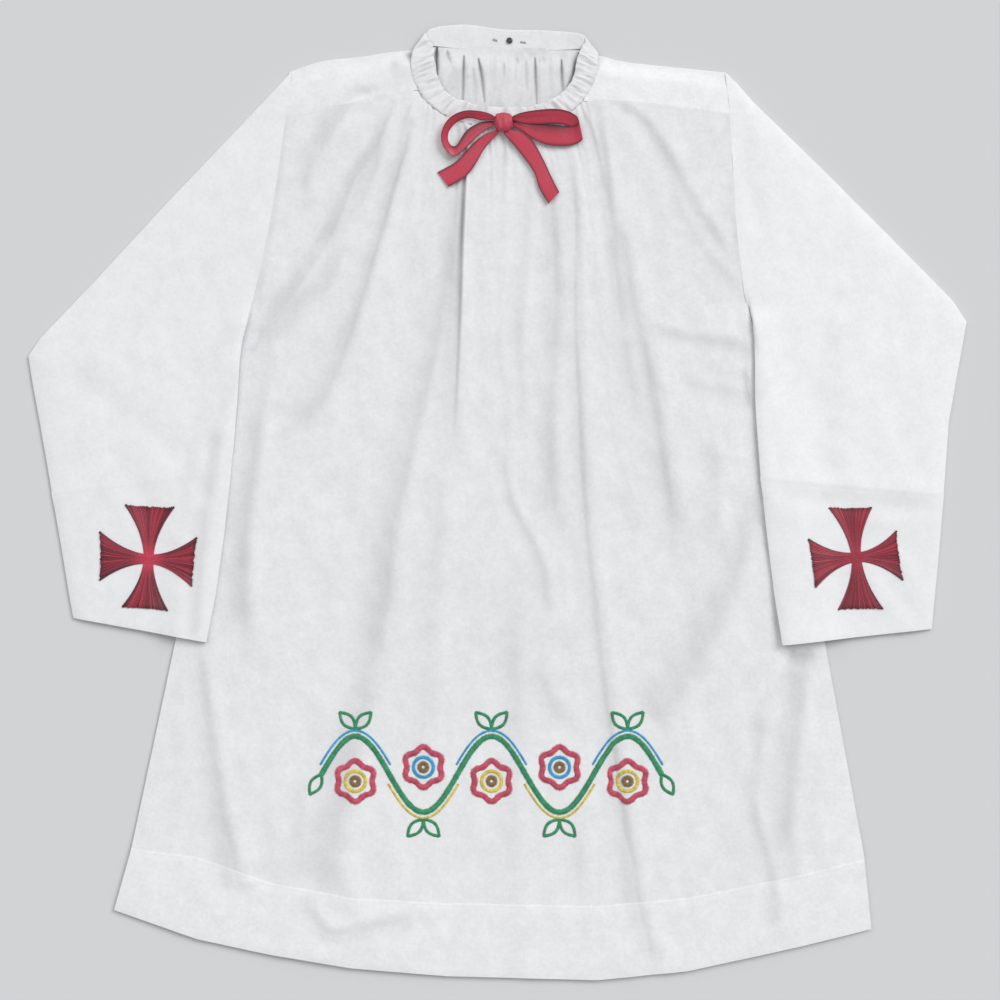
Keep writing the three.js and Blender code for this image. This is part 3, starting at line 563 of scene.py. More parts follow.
def front_painted_shade(x, y):
    """Painted shade on the front: grey in its folds and along the painted shade lines."""
    soft = along_lines(x, y, FOLDS, lambda deep, off: deep * np.exp(-((0.8 * off) ** 2)))
    dark = along_lines(x, y, PAINTED_SHADE_LINES, lambda shade, off: shade * np.exp(-off * off))
    return np.clip(FOLD_PAINTED_SHADE * np.minimum(soft, 3.2) + dark, 0, 0.9)


def front_height(x, y, fine=True):
    """Height of the front's upper face above the surface, in millimetres."""
    x, y = np.asarray(x, float), np.asarray(y, float)
    cloth = settings("cloth")
    inside = inside_body(x, y)
    edge = edge_height(y)
    from_neck = np.hypot(0.52 * (x - NECK_CENTRE[0]), y - NECK_CENTRE[1])
    near_neck = 2.6 * np.exp(-np.maximum(from_neck - 48, 0) / 46)
    plain = mix(edge, cloth.plain_height / MM + near_neck, rise(inside, 26))
    lowest = mix(edge, FOLDED_EDGE, rise(y + 320, 10))
    folds = fold_height(x, y) * smooth(inside / 30)
    small = wrinkles(x, y, SEED) * cloth.wrinkle_height / MM * smooth(inside / 24) if fine else 0.0
    return np.maximum(plain + folds + small, lowest)


# ---------------------------------------------------------------------------------------------
# Meshes
# ---------------------------------------------------------------------------------------------
def new_piece(name, points, faces, material, uv=None, shade=None):
    mesh = bpy.data.meshes.new(name)
    mesh.from_pydata((np.asarray(points) * MM).tolist(), [], faces)
    mesh.update()
    mesh.polygons.foreach_set("use_smooth", np.ones(len(mesh.polygons), bool))
    mesh.set_sharp_from_angle(angle=math.radians(75))
    mesh.materials.append(material)
    if shade is not None:
        mesh.attributes.new("shade", "FLOAT", "POINT").data.foreach_set("value", np.asarray(shade, float))
    if uv is not None:
        layer = mesh.uv_layers.new(name="cloth")
        corner = np.empty(len(mesh.loops), int)
        mesh.loops.foreach_get("vertex_index", corner)
        layer.data.foreach_set("uv", np.asarray(uv, float)[corner].ravel())
    piece = bpy.data.objects.new(name, mesh)
    bpy.context.scene.collection.objects.link(piece)
    return piece


def wall_faces(rows, columns, loop=False, turned=False):
    """Faces of a closed wall between an upper grid and a lower one of the same size."""
    r = np.arange(rows - 1)[:, None]
    c = np.arange(columns if loop else columns - 1)[None, :]

    def at(side, row, column):
        return (side * rows + row) * columns + column % columns

    def quads(*corners):
        grid = np.stack(np.broadcast_arrays(*corners), -1).reshape(-1, 4)
        return grid[:, ::-1] if turned else grid

    made = [
        quads(at(0, r, c), at(0, r + 1, c), at(0, r + 1, c + 1), at(0, r, c + 1)),
        quads(at(1, r, c), at(1, r, c + 1), at(1, r + 1, c + 1), at(1, r + 1, c)),
        quads(at(0, 0, c), at(0, 0, c + 1), at(1, 0, c + 1), at(1, 0, c)),
        quads(at(0, rows - 1, c), at(1, rows - 1, c), at(1, rows - 1, c + 1), at(0, rows - 1, c + 1)),
    ]
    if not loop:
        last = columns - 1
        made.append(quads(at(0, r, 0), at(1, r, 0), at(1, r + 1, 0), at(0, r + 1, 0)))
        made.append(quads(at(0, r, last), at(0, r + 1, last), at(1, r + 1, last), at(1, r, last)))
    return np.vstack(made).tolist()


def wall_piece(name, upper, lower, material, loop=False, turned=False, shade=0.0):
    """upper and lower are arrays of rows, columns and three coordinates in millimetres."""
    rows, columns = upper.shape[:2]
    points = np.vstack([upper.reshape(-1, 3), lower.reshape(-1, 3)])
    u = np.linspace(0, 1, columns)[None, :].repeat(rows, 0)
    v = np.linspace(0, 1, rows)[:, None].repeat(columns, 1)
    uv = np.stack([u, v], -1).reshape(-1, 2)
    shade = np.broadcast_to(shade, (rows, columns)).ravel()
    return new_piece(name, points, wall_faces(rows, columns, loop, turned), material, np.vstack([uv, uv]),
                     np.concatenate([shade, shade]))


def grid_normals(grid, loop=False):
    if loop:
        over = np.roll(grid, -1, 1) - np.roll(grid, 1, 1)
    else:
        over = np.gradient(grid, axis=1)
    normal = np.cross(np.gradient(grid, axis=0), over)
    return normal / np.maximum(np.linalg.norm(normal, axis=2, keepdims=True), 1e-9)


def ring_faces(rings, count):
    """Faces between rings of count points each, closed all round."""
    return [[a * count + k, a * count + (k + 1) % count, (a + 1) * count + (k + 1) % count,
             (a + 1) * count + k] for a in range(rings - 1) for k in range(count)]


def dress(piece, node):
    """Hangs the finished piece on the body and hides the part of model.glb that it replaces. The area share
    that is measured later is always 1 and tests nothing.
    """
    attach(piece, BODY)
    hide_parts(node)


# ---------------------------------------------------------------------------------------------
# Materials
# ---------------------------------------------------------------------------------------------
def node_group(name, inputs, outputs):
    tree = bpy.data.node_groups.new(name, "ShaderNodeTree")
    for label, kind, value in inputs:
        socket = tree.interface.new_socket(name=label, in_out="INPUT", socket_type=kind)
        socket.default_value = value
    for label, kind in outputs:
        tree.interface.new_socket(name=label, in_out="OUTPUT", socket_type=kind)
    return tree, tree.nodes.new("NodeGroupInput"), tree.nodes.new("NodeGroupOutput")


def add(tree, kind, **values):
    node = tree.nodes.new(kind)
    for key, value in values.items():
        setattr(node, key, value)
    return node


def math_node(tree, operation, a, b=None):
    node = add(tree, "ShaderNodeMath", operation=operation)
    for socket, value in zip(node.inputs, (a, b)):
        if value is None:
            continue
        if hasattr(value, "is_linked") or hasattr(value, "node"):
            tree.links.new(value, socket)
        else:
            socket.default_value = value
    return node.outputs[0]


def noise(tree, vector, scale, detail):
    node = add(tree, "ShaderNodeTexNoise")
    tree.links.new(vector, node.inputs["Vector"])
    node.inputs["Scale"].default_value = scale
    node.inputs["Detail"].default_value = detail
    return node.outputs["Fac"]


def plain_weave():
    """Warp and weft threads that cross one over one, with slubs and soft blotches."""
    name = "plain weave"
    if name in bpy.data.node_groups:
        return bpy.data.node_groups[name]
    tree, start, end = node_group(
        name,
        [("Vector", "NodeSocketVector", (0, 0, 0)), ("Pitch", "NodeSocketFloat", 0.0007),
         ("Blotch", "NodeSocketFloat", 0.03), ("Shade", "NodeSocketFloat", 0.0),
         ("Colour", "NodeSocketColor", (0.8, 0.8, 0.8, 1))],
        [("Colour", "NodeSocketColor"), ("Height", "NodeSocketFloat")],
    )
    link = tree.links.new
    split = add(tree, "ShaderNodeSeparateXYZ")
    link(start.outputs["Vector"], split.inputs[0])
    turn = math_node(tree, "DIVIDE", math.pi, start.outputs["Pitch"])
    warp = math_node(tree, "SINE", math_node(tree, "MULTIPLY", split.outputs[0], turn))
    weft = math_node(tree, "SINE", math_node(tree, "MULTIPLY", split.outputs[1], turn))
    threads = math_node(tree, "MULTIPLY", warp, weft)
    stretch = add(tree, "ShaderNodeMapping")
    stretch.inputs["Scale"].default_value = (900, 60, 60)
    link(start.outputs["Vector"], stretch.inputs["Vector"])
    slub = noise(tree, stretch.outputs[0], 1.0, 2.0)
    grain = noise(tree, start.outputs["Vector"], 260.0, 3.0)
    blotch = noise(tree, start.outputs["Vector"], 55.0, 4.0)
    both = math_node(tree, "ADD", grain, blotch)
    dark = math_node(tree, "MULTIPLY", math_node(tree, "SUBTRACT", both, 1.0), start.outputs["Blotch"])
    lit = math_node(tree, "SUBTRACT", 1.0, start.outputs["Shade"])
    scale = math_node(tree, "MULTIPLY", math_node(tree, "ADD", dark, 1.0), lit)
    tint = add(tree, "ShaderNodeVectorMath", operation="SCALE")
    link(start.outputs["Colour"], tint.inputs[0])
    link(scale, tint.inputs["Scale"])
    link(tint.outputs[0], end.inputs["Colour"])
    uneven = math_node(tree, "MULTIPLY", slub, 0.8)
    height = math_node(tree, "ADD", math_node(tree, "MULTIPLY", threads, 0.35), uneven)
    link(math_node(tree, "ADD", height, math_node(tree, "MULTIPLY", grain, 1.6)), end.inputs["Height"])
    return tree


def thread_sheen():
    """Fine twist and uneven dye of an embroidery thread."""
    name = "thread twist"
    if name in bpy.data.node_groups:
        return bpy.data.node_groups[name]
    tree, start, end = node_group(
        name,
        [("Vector", "NodeSocketVector", (0, 0, 0)), ("Colour", "NodeSocketColor", (0.5, 0.1, 0.1, 1)),
         ("Uneven", "NodeSocketFloat", 0.5), ("Shade", "NodeSocketFloat", 0.0)],
        [("Colour", "NodeSocketColor"), ("Height", "NodeSocketFloat")],
    )
    link = tree.links.new
    dye = noise(tree, start.outputs["Vector"], 420.0, 3.0)
    shade = math_node(tree, "MULTIPLY", math_node(tree, "SUBTRACT", dye, 0.5), start.outputs["Uneven"])
    uneven = math_node(tree, "ADD", math_node(tree, "MULTIPLY", shade, 2.0), 1.0)
    lit = math_node(tree, "SUBTRACT", 1.0, start.outputs["Shade"])
    tint = add(tree, "ShaderNodeVectorMath", operation="SCALE")
    link(start.outputs["Colour"], tint.inputs[0])
    link(math_node(tree, "MULTIPLY", uneven, lit), tint.inputs["Scale"])
    link(tint.outputs[0], end.inputs["Colour"])
    link(noise(tree, start.outputs["Vector"], 2600.0, 2.0), end.inputs["Height"])
    return tree


def principled(name, colour, roughness, sheen=0.0, sheen_roughness=0.5, specular=0.5):
    material = bpy.data.materials.new(name)
    material.use_nodes = True
    tree = material.node_tree
    shader = tree.nodes["Principled BSDF"]
    shader.inputs["Base Color"].default_value = (*colour, 1)
    shader.inputs["Roughness"].default_value = roughness
    shader.inputs["Sheen Weight"].default_value = sheen
    shader.inputs["Sheen Roughness"].default_value = sheen_roughness
    shader.inputs["Specular IOR Level"].default_value = specular
    return material, tree, shader


def group_node(tree, group, **values):
    node = tree.nodes.new("ShaderNodeGroup")
    node.node_tree = group
    for key, value in values.items():
        node.inputs[key].default_value = value
    return node


def bump(tree, shader, height, distance, strength):
    node = add(tree, "ShaderNodeBump")
    node.inputs["Distance"].default_value = distance
    node.inputs["Strength"].default_value = strength
    tree.links.new(height, node.inputs["Height"])
    tree.links.new(node.outputs[0], shader.inputs["Normal"])


def own_shade(tree, group):
    """Links the shade stored with the piece's points to a group that darkens by it: painted shade on cloth
    and ribbon, darker and lighter threads on embroidery.
    """
    stored = add(tree, "ShaderNodeAttribute", attribute_name="shade")
    tree.links.new(stored.outputs["Fac"], group.inputs["Shade"])


def cotton(piece, blotch=0.17, weave_turn=0.0):
    """The cotton of one piece, as light as its tint says."""
    name = "cotton " + piece
    if name in bpy.data.materials:
        return bpy.data.materials[name]
    colour = tuple(np.array(settings("colours").cotton) * TINTS[piece])
    material, tree, shader = principled(name, colour, 0.86, sheen=0.12, specular=0.25)
    place = add(tree, "ShaderNodeTexCoord")
    turn = add(tree, "ShaderNodeMapping")
    turn.inputs["Rotation"].default_value = (0, 0, weave_turn)
    tree.links.new(place.outputs["Object"], turn.inputs["Vector"])
    weave = group_node(tree, plain_weave(), Pitch=0.0007, Blotch=blotch, Colour=(*colour, 1))
    tree.links.new(turn.outputs[0], weave.inputs["Vector"])
    own_shade(tree, weave)
    tree.links.new(weave.outputs["Colour"], shader.inputs["Base Color"])
    bump(tree, shader, weave.outputs["Height"], 0.0002, 0.55)
    return material


def thread_material(name, colour, uneven=0.5, roughness=0.42):
    if name in bpy.data.materials:
        return bpy.data.materials[name]
    material, tree, shader = principled(name, colour, roughness, sheen=0.25, sheen_roughness=0.35)
    place = add(tree, "ShaderNodeTexCoord")
    twist = group_node(tree, thread_sheen(), Colour=(*colour, 1), Uneven=uneven)
    own_shade(tree, twist)
    tree.links.new(place.outputs["Object"], twist.inputs["Vector"])
    tree.links.new(twist.outputs["Colour"], shader.inputs["Base Color"])
    bump(tree, shader, twist.outputs["Height"], 0.0001, 0.5)
    return material


def satin_material(name, colour):
    """Ribbon satin: fine ribs across its length, from the ribbon's own map."""
    if name in bpy.data.materials:
        return bpy.data.materials[name]
    material, tree, shader = principled(name, colour, 0.4, sheen=0.2, sheen_roughness=0.3)
    place = add(tree, "ShaderNodeUVMap", uv_map="cloth")
    ribs = add(tree, "ShaderNodeTexWave", wave_type="BANDS", bands_direction="Y", wave_profile="SIN")
    ribs.inputs["Scale"].default_value = 45.0
    ribs.inputs["Distortion"].default_value = 0.4
    tree.links.new(place.outputs[0], ribs.inputs["Vector"])
    spot = add(tree, "ShaderNodeTexCoord")
    dye = group_node(tree, thread_sheen(), Colour=(*colour, 1), Uneven=0.16)
    own_shade(tree, dye)
    tree.links.new(spot.outputs["Object"], dye.inputs["Vector"])
    tree.links.new(dye.outputs["Colour"], shader.inputs["Base Color"])
    bump(tree, shader, ribs.outputs["Fac"], 0.0001, 0.35)
    return material


# ---------------------------------------------------------------------------------------------
# Body: front, back and hem
# ---------------------------------------------------------------------------------------------
# Lines that columns of the front follow, from the neck to the hem: heights and x, left to right.
KEY_Y = [430, 400, 372, 340, 290, 240, 190, 124, 77, 11, -94, -188, -304, -397, -480]
KEY_X = [
    [-90, -86, -92, -98, -108, -122, -136, -150, -160, -176, -198, -212, -226, -236, -244],
    [-34, -33, -32, -32.5, -35, -37.2, -38.8, -41.5, -44, -50, -56, -62, -68, -72, -76],
    [50, 52, 58, 68, 76.5, 76.4, 76, 78, 79.5, 83, 90, 104, 123, 134, 150],
    [93, 92, 99, 106, 112, 118, 126, 140, 157, 172, 188, 200, 216, 228, 236],
]
COLUMN_SPACING = [48, 52, 74, 46, 44]  # columns between the left edge, the four lines and the right edge


def column_shares():
    """Place of each column between the lines, closer together on both sides of the second and third."""
    places = []
    for k, count in enumerate(COLUMN_SPACING):
        t = np.linspace(0, 1, count, endpoint=False)
        if k == 1:
            t = 1 - (1 - t) ** 1.5
        if k == 2:
            t = mix(t, 0.5 - 0.5 * np.cos(np.pi * t), 0.55)
        if k == 3:
            t = t ** 1.2
        places.append(k + t)
    return np.append(np.concatenate(places), float(len(COLUMN_SPACING)))


def column_x(places, y):
    """x of each column at the heights y, one height for each column."""
    order = [-v for v in KEY_Y]
    lines = [body_left(y)] + [np.interp(-y, order, row) for row in KEY_X] + [body_right(y)]
    lines = np.stack(lines)
    k = np.clip(np.floor(places).astype(int), 0, len(COLUMN_SPACING) - 1)
    at = np.arange(len(places))
    return mix(lines[k, at], lines[k + 1, at], places - k)


def sewn_loop(shares):
    return spline([(*sewn, z) for _, sewn, z in NECKBAND], shares, closed=True)


def free_loop(shares):
    return spline([(*free, z) for free, _, z in NECKBAND], shares, closed=True)


def front_top_y(x):
    """Upper edge of the front: over the straps' seams, and tucked under the neckband between them."""
    left = spline(STRAPS["left"]["seam"], np.linspace(0, 1, 30))[::-1]
    right = spline(STRAPS["right"]["seam"], np.linspace(0, 1, 30))
    shares = np.linspace(*FRONT_SHARE, 90)
    neck = mix(sewn_loop(shares), free_loop(shares), NECK_TUCK)[1:-1, :2]
    edge = np.vstack([left, neck, right])
    return np.interp(x, edge[:, 0], edge[:, 1])


def front_places(rows):
    """Grid of x and y over the front, from its upper edge to the hem seam."""
    places = column_shares()
    y = np.full(places.shape, 395.0)
    for _ in range(30):
        x = column_x(places, y)
        y = mix(y, front_top_y(x), 0.6)
    top_y = y
    seam_x = column_x(places, np.full(places.shape, -385.0))
    seam_y = hem_seam(seam_x) - TUCK
    down = np.linspace(0, 1, rows)[:, None] ** 1.18
    grid_y = mix(top_y[None, :], seam_y[None, :], down)
    grid_x = np.stack([column_x(places, row) for row in grid_y])
    return grid_x, grid_y


def gathers(x, y, top_x, below, seed, span, spacing, height):
    """Narrow irregular gathers that run down from a sewn edge, each with its own length."""
    rng = np.random.default_rng(seed)
    total = np.zeros(x.shape)
    at = span[0]
    while at < span[1]:
        width = rng.uniform(1.1, 2.0) * (1 + below / 90)
        length = rng.choice([16, 26, 40, 70], p=[0.35, 0.35, 0.2, 0.1])
        fade = np.exp(-((below / length) ** 2))
        off = (top_x - at) * (1 + below / 160) / width
        total -= rng.uniform(0.6, 1.25) * height * fade * np.exp(-off * off)
        at += spacing * rng.uniform(0.65, 1.4)
    return total


def streaks(x, y, seed):
    """Fine long creases that hang down the cloth; x is the place of the column, whatever the height."""
    return (0.2 * cloud(x, y * 0.14, 10, seed) + 0.06 * cloud(x, y * 0.2, 4.6, seed + 1)
            + 0.7 * cloud(x + 0.1 * y, y * 0.3, 19, seed + 2) + 0.2 * cloud(x, y, 7, seed + 3))


def thin_edge(distance, wall):
    """Thickness of a wall that thins towards a seam edge."""
    return mix(THIN_EDGE, wall, smooth(distance / EDGE_RUN))


def make_body():
    cloth = settings("cloth")
    wall = cloth.wall / MM
    x, y = front_places(182)
    below = y[0][None, :] - y
    top_x = np.broadcast_to(x[0][None, :], x.shape)
    tall = cloth.gather_height / MM
    height = front_height(x, y)
    column = column_x(column_shares(), np.zeros(x.shape[1]))[None, :]
    at_neck = smooth((top_x + 86) / 4) * smooth((94 - top_x) / 4)
    from_strap = mix(smooth((below - 2) / 12), 1.0, at_neck)
    height += streaks(column, y, SEED + 50) * smooth(inside_body(x, y) / 26) * from_strap
    height += gathers(x, y, top_x, below, SEED + 5, (-82, 92), 5.4, tall)
    height += gathers(x, y, top_x, below, SEED + 6, (-205, -92), 11, 0.5 * tall) * from_strap
    height += gathers(x, y, top_x, below, SEED + 7, (100, 225), 12, 0.45 * tall) * from_strap
    lowest = mix(edge_height(y), FOLDED_EDGE, rise(y + 320, 10))
    height = np.maximum(height, lowest)
    height -= 1.0 * at_neck * smooth((TUCK - below) / 1.5)
    upper = np.stack([x, y, height], -1)
    lower = upper.copy()
    lower[..., 2] -= thin_edge(below, wall)
    front = wall_piece("front_cloth", upper, lower, cotton("front"), shade=front_painted_shade(x, y))
    dress(front, "front_body")

    make_back(wall)
    make_hems(cloth.doubled_wall / MM)


def back_top_y(x):
    """Upper edge of the back: as the front's at the straps, and up under the neckband between them."""
    left = spline(STRAPS["left"]["seam"], np.linspace(0, 1, 20))[::-1]
    right = spline(STRAPS["right"]["seam"], np.linspace(0, 1, 20))
    edge = np.vstack([left, [(-81, 455.5), (-37.5, 455.5), (50, 454), (95, 452)], right])
    return np.interp(x, edge[:, 0], edge[:, 1])


def make_back(wall):
    neck_columns, side_columns = 440, 26
    columns = np.concatenate([np.linspace(0, 1, side_columns, endpoint=False),
                              np.linspace(1, 2, neck_columns, endpoint=False),
                              np.linspace(2, 3, side_columns + 1)])
    rows = np.concatenate([np.linspace(0, 66, 50, endpoint=False), np.linspace(66, 845, 30)]) / 845
    top_x = np.interp(columns, [0, 1, 2, 3], [-213.4, -82.5, 93.0, 234.6])
    top_y = back_top_y(top_x)
    seam_share = np.interp(columns, [0, 1, 2, 3], [0, 0.3, 0.7, 1])
    seam_x = mix(body_left(-350.0), body_right(-350.0), seam_share)
    seam_y = hem_seam(seam_x) + SEAM
    y = mix(top_y[None, :], seam_y[None, :], rows[:, None])
    first = (top_x - body_left(top_y)) / (body_right(top_y) - body_left(top_y))
    across = mix(first[None, :], seam_share[None, :], smooth(rows * 1.15)[:, None])
    x = mix(body_left(y), body_right(y), across)
    below = top_y[None, :] - y
    centre = smooth((86 - np.abs(x - 5)) / 12)
    height = wall + 0.3 + 3.3 * centre * np.exp(-((below / 62) ** 2))
    tops = np.broadcast_to(top_x[None, :], x.shape)
    height += gathers(x, y, tops, below, SEED + 9, (-78, 90), 9.0, 0.7) * (centre > 0)
    # Painted shade in the pleats' hollows, and soft grey patches over the middle.
    shade = np.zeros(x.shape)
    for depth, half, line in BACK_PLEATS:
        points = spline(line, np.linspace(0, 1, 10))
        distance, share, side = nearest_on(points, x, y)
        taper = 0.5 + 0.5 * smooth(share / 0.3) * smooth((1 - share) / 0.3)
        inside = np.exp(-((distance / (half * taper)) ** 2))
        fold = -0.3 * side * np.exp(-((distance / (3.0 * half)) ** 2)) - inside
        here = depth * (1.2 - 0.7 * share)
        height += PLEAT_DEPTH * here * centre * fold
        shade = np.maximum(shade, PLEAT_PAINTED_SHADE * here * inside)
    patches = cloud(x, y * 0.6, 9, SEED + 13) + 0.7 * cloud(x, y * 0.8, 4.5, SEED + 14)
    shade = np.maximum(shade, 0.1 * np.clip(patches, 0, 1) * centre)
    height += 0.2 * wrinkles(x, y, SEED + 12) * smooth(rows * 8)[:, None]
    height = np.clip(height, wall, 5.4)
    # Under the neckband the panel ends inside the band's own thickness, and rises slowly from there.
    height = mix(height, 2.3, centre * smooth((TUCK + 20 - below) / 18))
    upper = np.stack([x, y, height], -1)
    lower = upper.copy()
    lower[..., 2] = 0.0
    back = wall_piece("back_cloth", upper, lower, cotton("back"), shade=np.clip(shade, 0, 0.9))
    dress(back, "back_body")


def hem_places(rows, places):
    """Grid over the hem band, in line with the columns of the front."""
    seam_x = column_x(places, np.full(places.shape, -385.0))
    x = seam_x
    for _ in range(12):
        x = column_x(places, hem_seam(x))
    start_y = hem_seam(x)
    bottom_x = x
    for _ in range(12):
        bottom_x = column_x(places, hem_edge(bottom_x))
    end_y = hem_edge(bottom_x)
    y = mix(start_y[None, :], end_y[None, :], np.asarray(rows)[:, None])
    x = np.stack([column_x(places, row) for row in y])
    return x, y


def make_hems(wall):
    rows = np.concatenate([np.linspace(0, 0.1, 7, endpoint=False), np.linspace(0.1, 1, 22)])
    x, y = hem_places(rows, column_shares())
    height = front_height(x, y)
    column = column_x(column_shares(), np.zeros(x.shape[1]))[None, :]
    down = y[0][None, :] - y
    height += streaks(column, y, SEED + 50) * smooth(inside_body(x, y) / 26) * mix(1, 0.6, smooth(down / 20))
    height = np.maximum(height, HEM_HEIGHT) + mix(STEP["hem"], 0.1, smooth(down / 12))
    height -= 1.3 * STEP["hem"] * (1 - smooth(down / 2.2))
    height -= 0.5 * smooth((rows[:, None] - 0.93) / 0.07)
    upper = np.stack([x, y, height], -1)
    lower = upper.copy()
    lower[..., 2] -= thin_edge(down, wall)
    # The front's painted fold shade runs on over the band, a little weaker. Over the seam four layers lie on
    # each other, so the band is lightest there.
    shade = 0.7 * front_painted_shade(x, y) - 0.04 * np.exp(-(((down - 4) / 5) ** 2))
    front = wall_piece("hem_front_cloth", upper, lower, cotton("hem"), shade=shade)
    dress(front, "hem_front")

    x, y = hem_places(np.linspace(0, 1, 8), np.linspace(0, 5, 90))
    upper = np.stack([x, y, np.full(x.shape, wall)], -1)
    lower = upper.copy()
    lower[..., 2] = 0.0
    back = wall_piece("hem_back_cloth", upper, lower, cotton("hem"))
    dress(back, "hem_back")


# ---------------------------------------------------------------------------------------------
# Shoulder straps, sleeves, cuffs
# ---------------------------------------------------------------------------------------------
def make_strap(side):
    """Folded over the shoulder: up the back, round the fold and down the front, under the front's edge."""
    wall = settings("cloth").wall / MM
    columns, turns = 80, 9
    shares = np.concatenate([np.linspace(-TUCK / 37, 0.9, 20), np.linspace(0.92, 0.995, 5)])
    ends = np.linspace(0, 1, columns)
    fold, seam = (spline(STRAPS[side][k], ends) for k in ("fold", "seam"))
    to_neck = (1 if side == "left" else -1) * 2.2 * TUCK * np.exp(-ends / 0.05)[:, None] * [1, 0]
    fold, seam = fold + to_neck, seam + to_neck
    outer, inner = [], []
    for share in shares:
        p = mix(seam, fold, share)
        flat = front_height(p[:, 0], p[:, 1]) - STEP["strap"] * (1 - smooth((share - 0.02) / 0.4))
        top = np.maximum(mix(flat, FOLDED_EDGE, smooth((share - 0.55) / 0.45)), FOLDED_EDGE)
        outer.append(np.column_stack([p, top]))
        inner.append(np.column_stack([p, top - wall]))
    radius = FOLDED_EDGE / 2
    back = (fold - seam) / np.linalg.norm(fold - seam, axis=1)[:, None]
    base = mix(seam, fold, shares[-1])
    for angle in np.linspace(90, -90, turns)[1:-1]:
        c, s = math.cos(math.radians(angle)), math.sin(math.radians(angle))
        outer.append(np.column_stack([base + back * radius * 0.5 * c, np.full(columns, radius + radius * s)]))
        inner.append(np.column_stack([base + back * (radius - wall) * 0.4 * c,
                                      np.full(columns, radius + (radius - wall) * s)]))
    for share in shares[:0:-1]:
        p = mix(seam, fold, max(share, 0.01))
        outer.append(np.column_stack([p, np.zeros(columns)]))
        inner.append(np.column_stack([p, np.full(columns, wall)]))
    outer, inner = (np.stack(g).transpose(1, 0, 2) for g in (outer, inner))
    # Painted shade in spots, darkest where the left strap meets the neckband.
    painted_shade_spots = STRAPS[side]["shade"]
    grey = sum(dark * np.exp(-((np.hypot(outer[..., 0] - x, outer[..., 1] - y) / half) ** 2))
               for dark, half, x, y in painted_shade_spots)
    piece = wall_piece("strap_%s_cloth" % side, outer, inner, cotton("strap_" + side), turned=side == "left",
                       shade=grey)
    dress(piece, "strap_" + side)


def sleeve_floor(x, y):
    ramp = 34
    inside = inside_body(x, y)
    below = smooth((UNDERARM_Y - y) / 24)
    on = smooth((inside + ramp) / ramp)
    around = np.maximum.reduce([front_height(x + step, y, fine=False) for step in (-9, -4, 0, 4, 9)])
    body = np.where(inside > 0, around, np.maximum(edge_height(y), around))
    return (body + 0.9) * on * below


def stations(rows, between):
    inner = np.array([r[0] for r in rows], float)
    outer = np.array([r[1] for r in rows], float)
    at = np.linspace(0, len(rows) - 1, (len(rows) - 1) * between + 1)
    index = np.arange(len(rows))
    pair = [np.column_stack([np.interp(at, index, side[:, k]) for k in (0, 1)]) for side in (inner, outer)]
    return pair[0], pair[1]


def flat_tube(name, rows, wall, side, material, between, kind):
    """A tube that lies flat: its lower layer on what is under it, its upper layer over that.

    A sleeve's upper layer starts on the body's edge, and its other end runs on into the cuff.
    """
    cloth = settings("cloth")
    inner, outer = stations(rows, between)
    if kind == "sleeve":
        on = np.array([CUFFS[side][1][k] for k in (0, 1)], float) - [inner[-1], outer[-1]]
        on = on / np.linalg.norm(on, axis=1)[:, None] * TUCK
        inner, outer = np.vstack([inner, inner[-1] + on[0]]), np.vstack([outer, outer[-1] + on[1]])
    count = len(inner)
    ring = np.arange(count)[:, None]
    width = np.linalg.norm(outer - inner, axis=1)[:, None]
    plain = cloth.plain_height / MM
    lower_at = 0.5 - 0.5 * np.cos(np.pi * np.linspace(0.02, 0.98, 34))
    upper_at = 0.5 - 0.5 * np.cos(np.pi * np.linspace(0.985, 0.015, 92))
    across = np.concatenate([[0.0], lower_at, [1.0], upper_at])
    up = np.concatenate([[0.5], np.zeros(34), [0.5], np.ones(92)])[None, :]
    away = -1 if side == "left" else 1
    narrow = np.where(ring == count - 1, 0.45, 0.0) if kind == "sleeve" else 0.0
    wide = 0.45 * (1 - smooth(ring / 8)) if kind == "cuff" else 0.0
    rings = []
    for layer in (0.0, 1.0):
        thick = layer * mix(THIN_EDGE, wall, smooth(ring / 4))
        edge = (thick + narrow - wide) / width
        share = mix(edge, 1 - edge, across[None, :])
        x = mix(inner[:, 0:1], outer[:, 0:1], share)
        y = mix(inner[:, 1:2], outer[:, 1:2], share)
        if kind == "sleeve":
            seam = (body_left(y[0]) if side == "left" else body_right(y[0])) + away * 2 * SEAM
            bend = np.clip(1 - ring / (1.5 * between), 0, 1)
            x = x + (seam - x[0])[None, :] * bend
            x = x - away * (TUCK + 2 * SEAM) * up * np.clip(1 - ring / (26 if side == "left" else 3), 0, 1)
        low = sleeve_floor(x, y)
        roll = rise(share * width, 7) * rise((1 - share) * width, 9)
        high = low + FOLDED_EDGE + (plain - FOLDED_EDGE) * roll
        soft = wrinkles(x, y, SEED + (21 if side == "left" else 31)) * roll
        small = soft * cloth.wrinkle_height / MM * 1.1 + sleeve_creases(x, y, side) * roll
        high = high + small * (up > 0.9)
        if kind == "sleeve":
            on_body = np.clip(1 - ring / 5, 0, 1)
            high = mix(high, np.maximum(front_height(x, y, fine=False) + STEP[side], high), on_body)
        else:
            raised = STEP["cuff"] - 0.4 * smooth((ring - count + 3) / 3)
            lift = cuff_lift(x, y, side)
            high, low = high + raised + lift, low + 0.8 * lift
        z = mix(low + thick + narrow, np.maximum(high - thick, low + thick + 0.4), up)
        rings.append(np.stack([x, y, z], -1))
    # Painted shade in the tube's creases.
    grey = CREASE_PAINTED_SHADE * np.clip(-sleeve_creases(rings[0][..., 0], rings[0][..., 1], side), 0, 2)
    return wall_piece(name, rings[0], rings[1], material, loop=True, turned=side == "right", shade=grey)


def cuff_lift(x, y, side):
    """The lower inner corner of each cuff stands off the body a little."""
    cx, cy, high = (-292, -142, 0.8) if side == "left" else (296, -148, 4.6)
    return high * np.exp(-((np.hypot((x - cx) * 0.8, y - cy) / 34) ** 2))
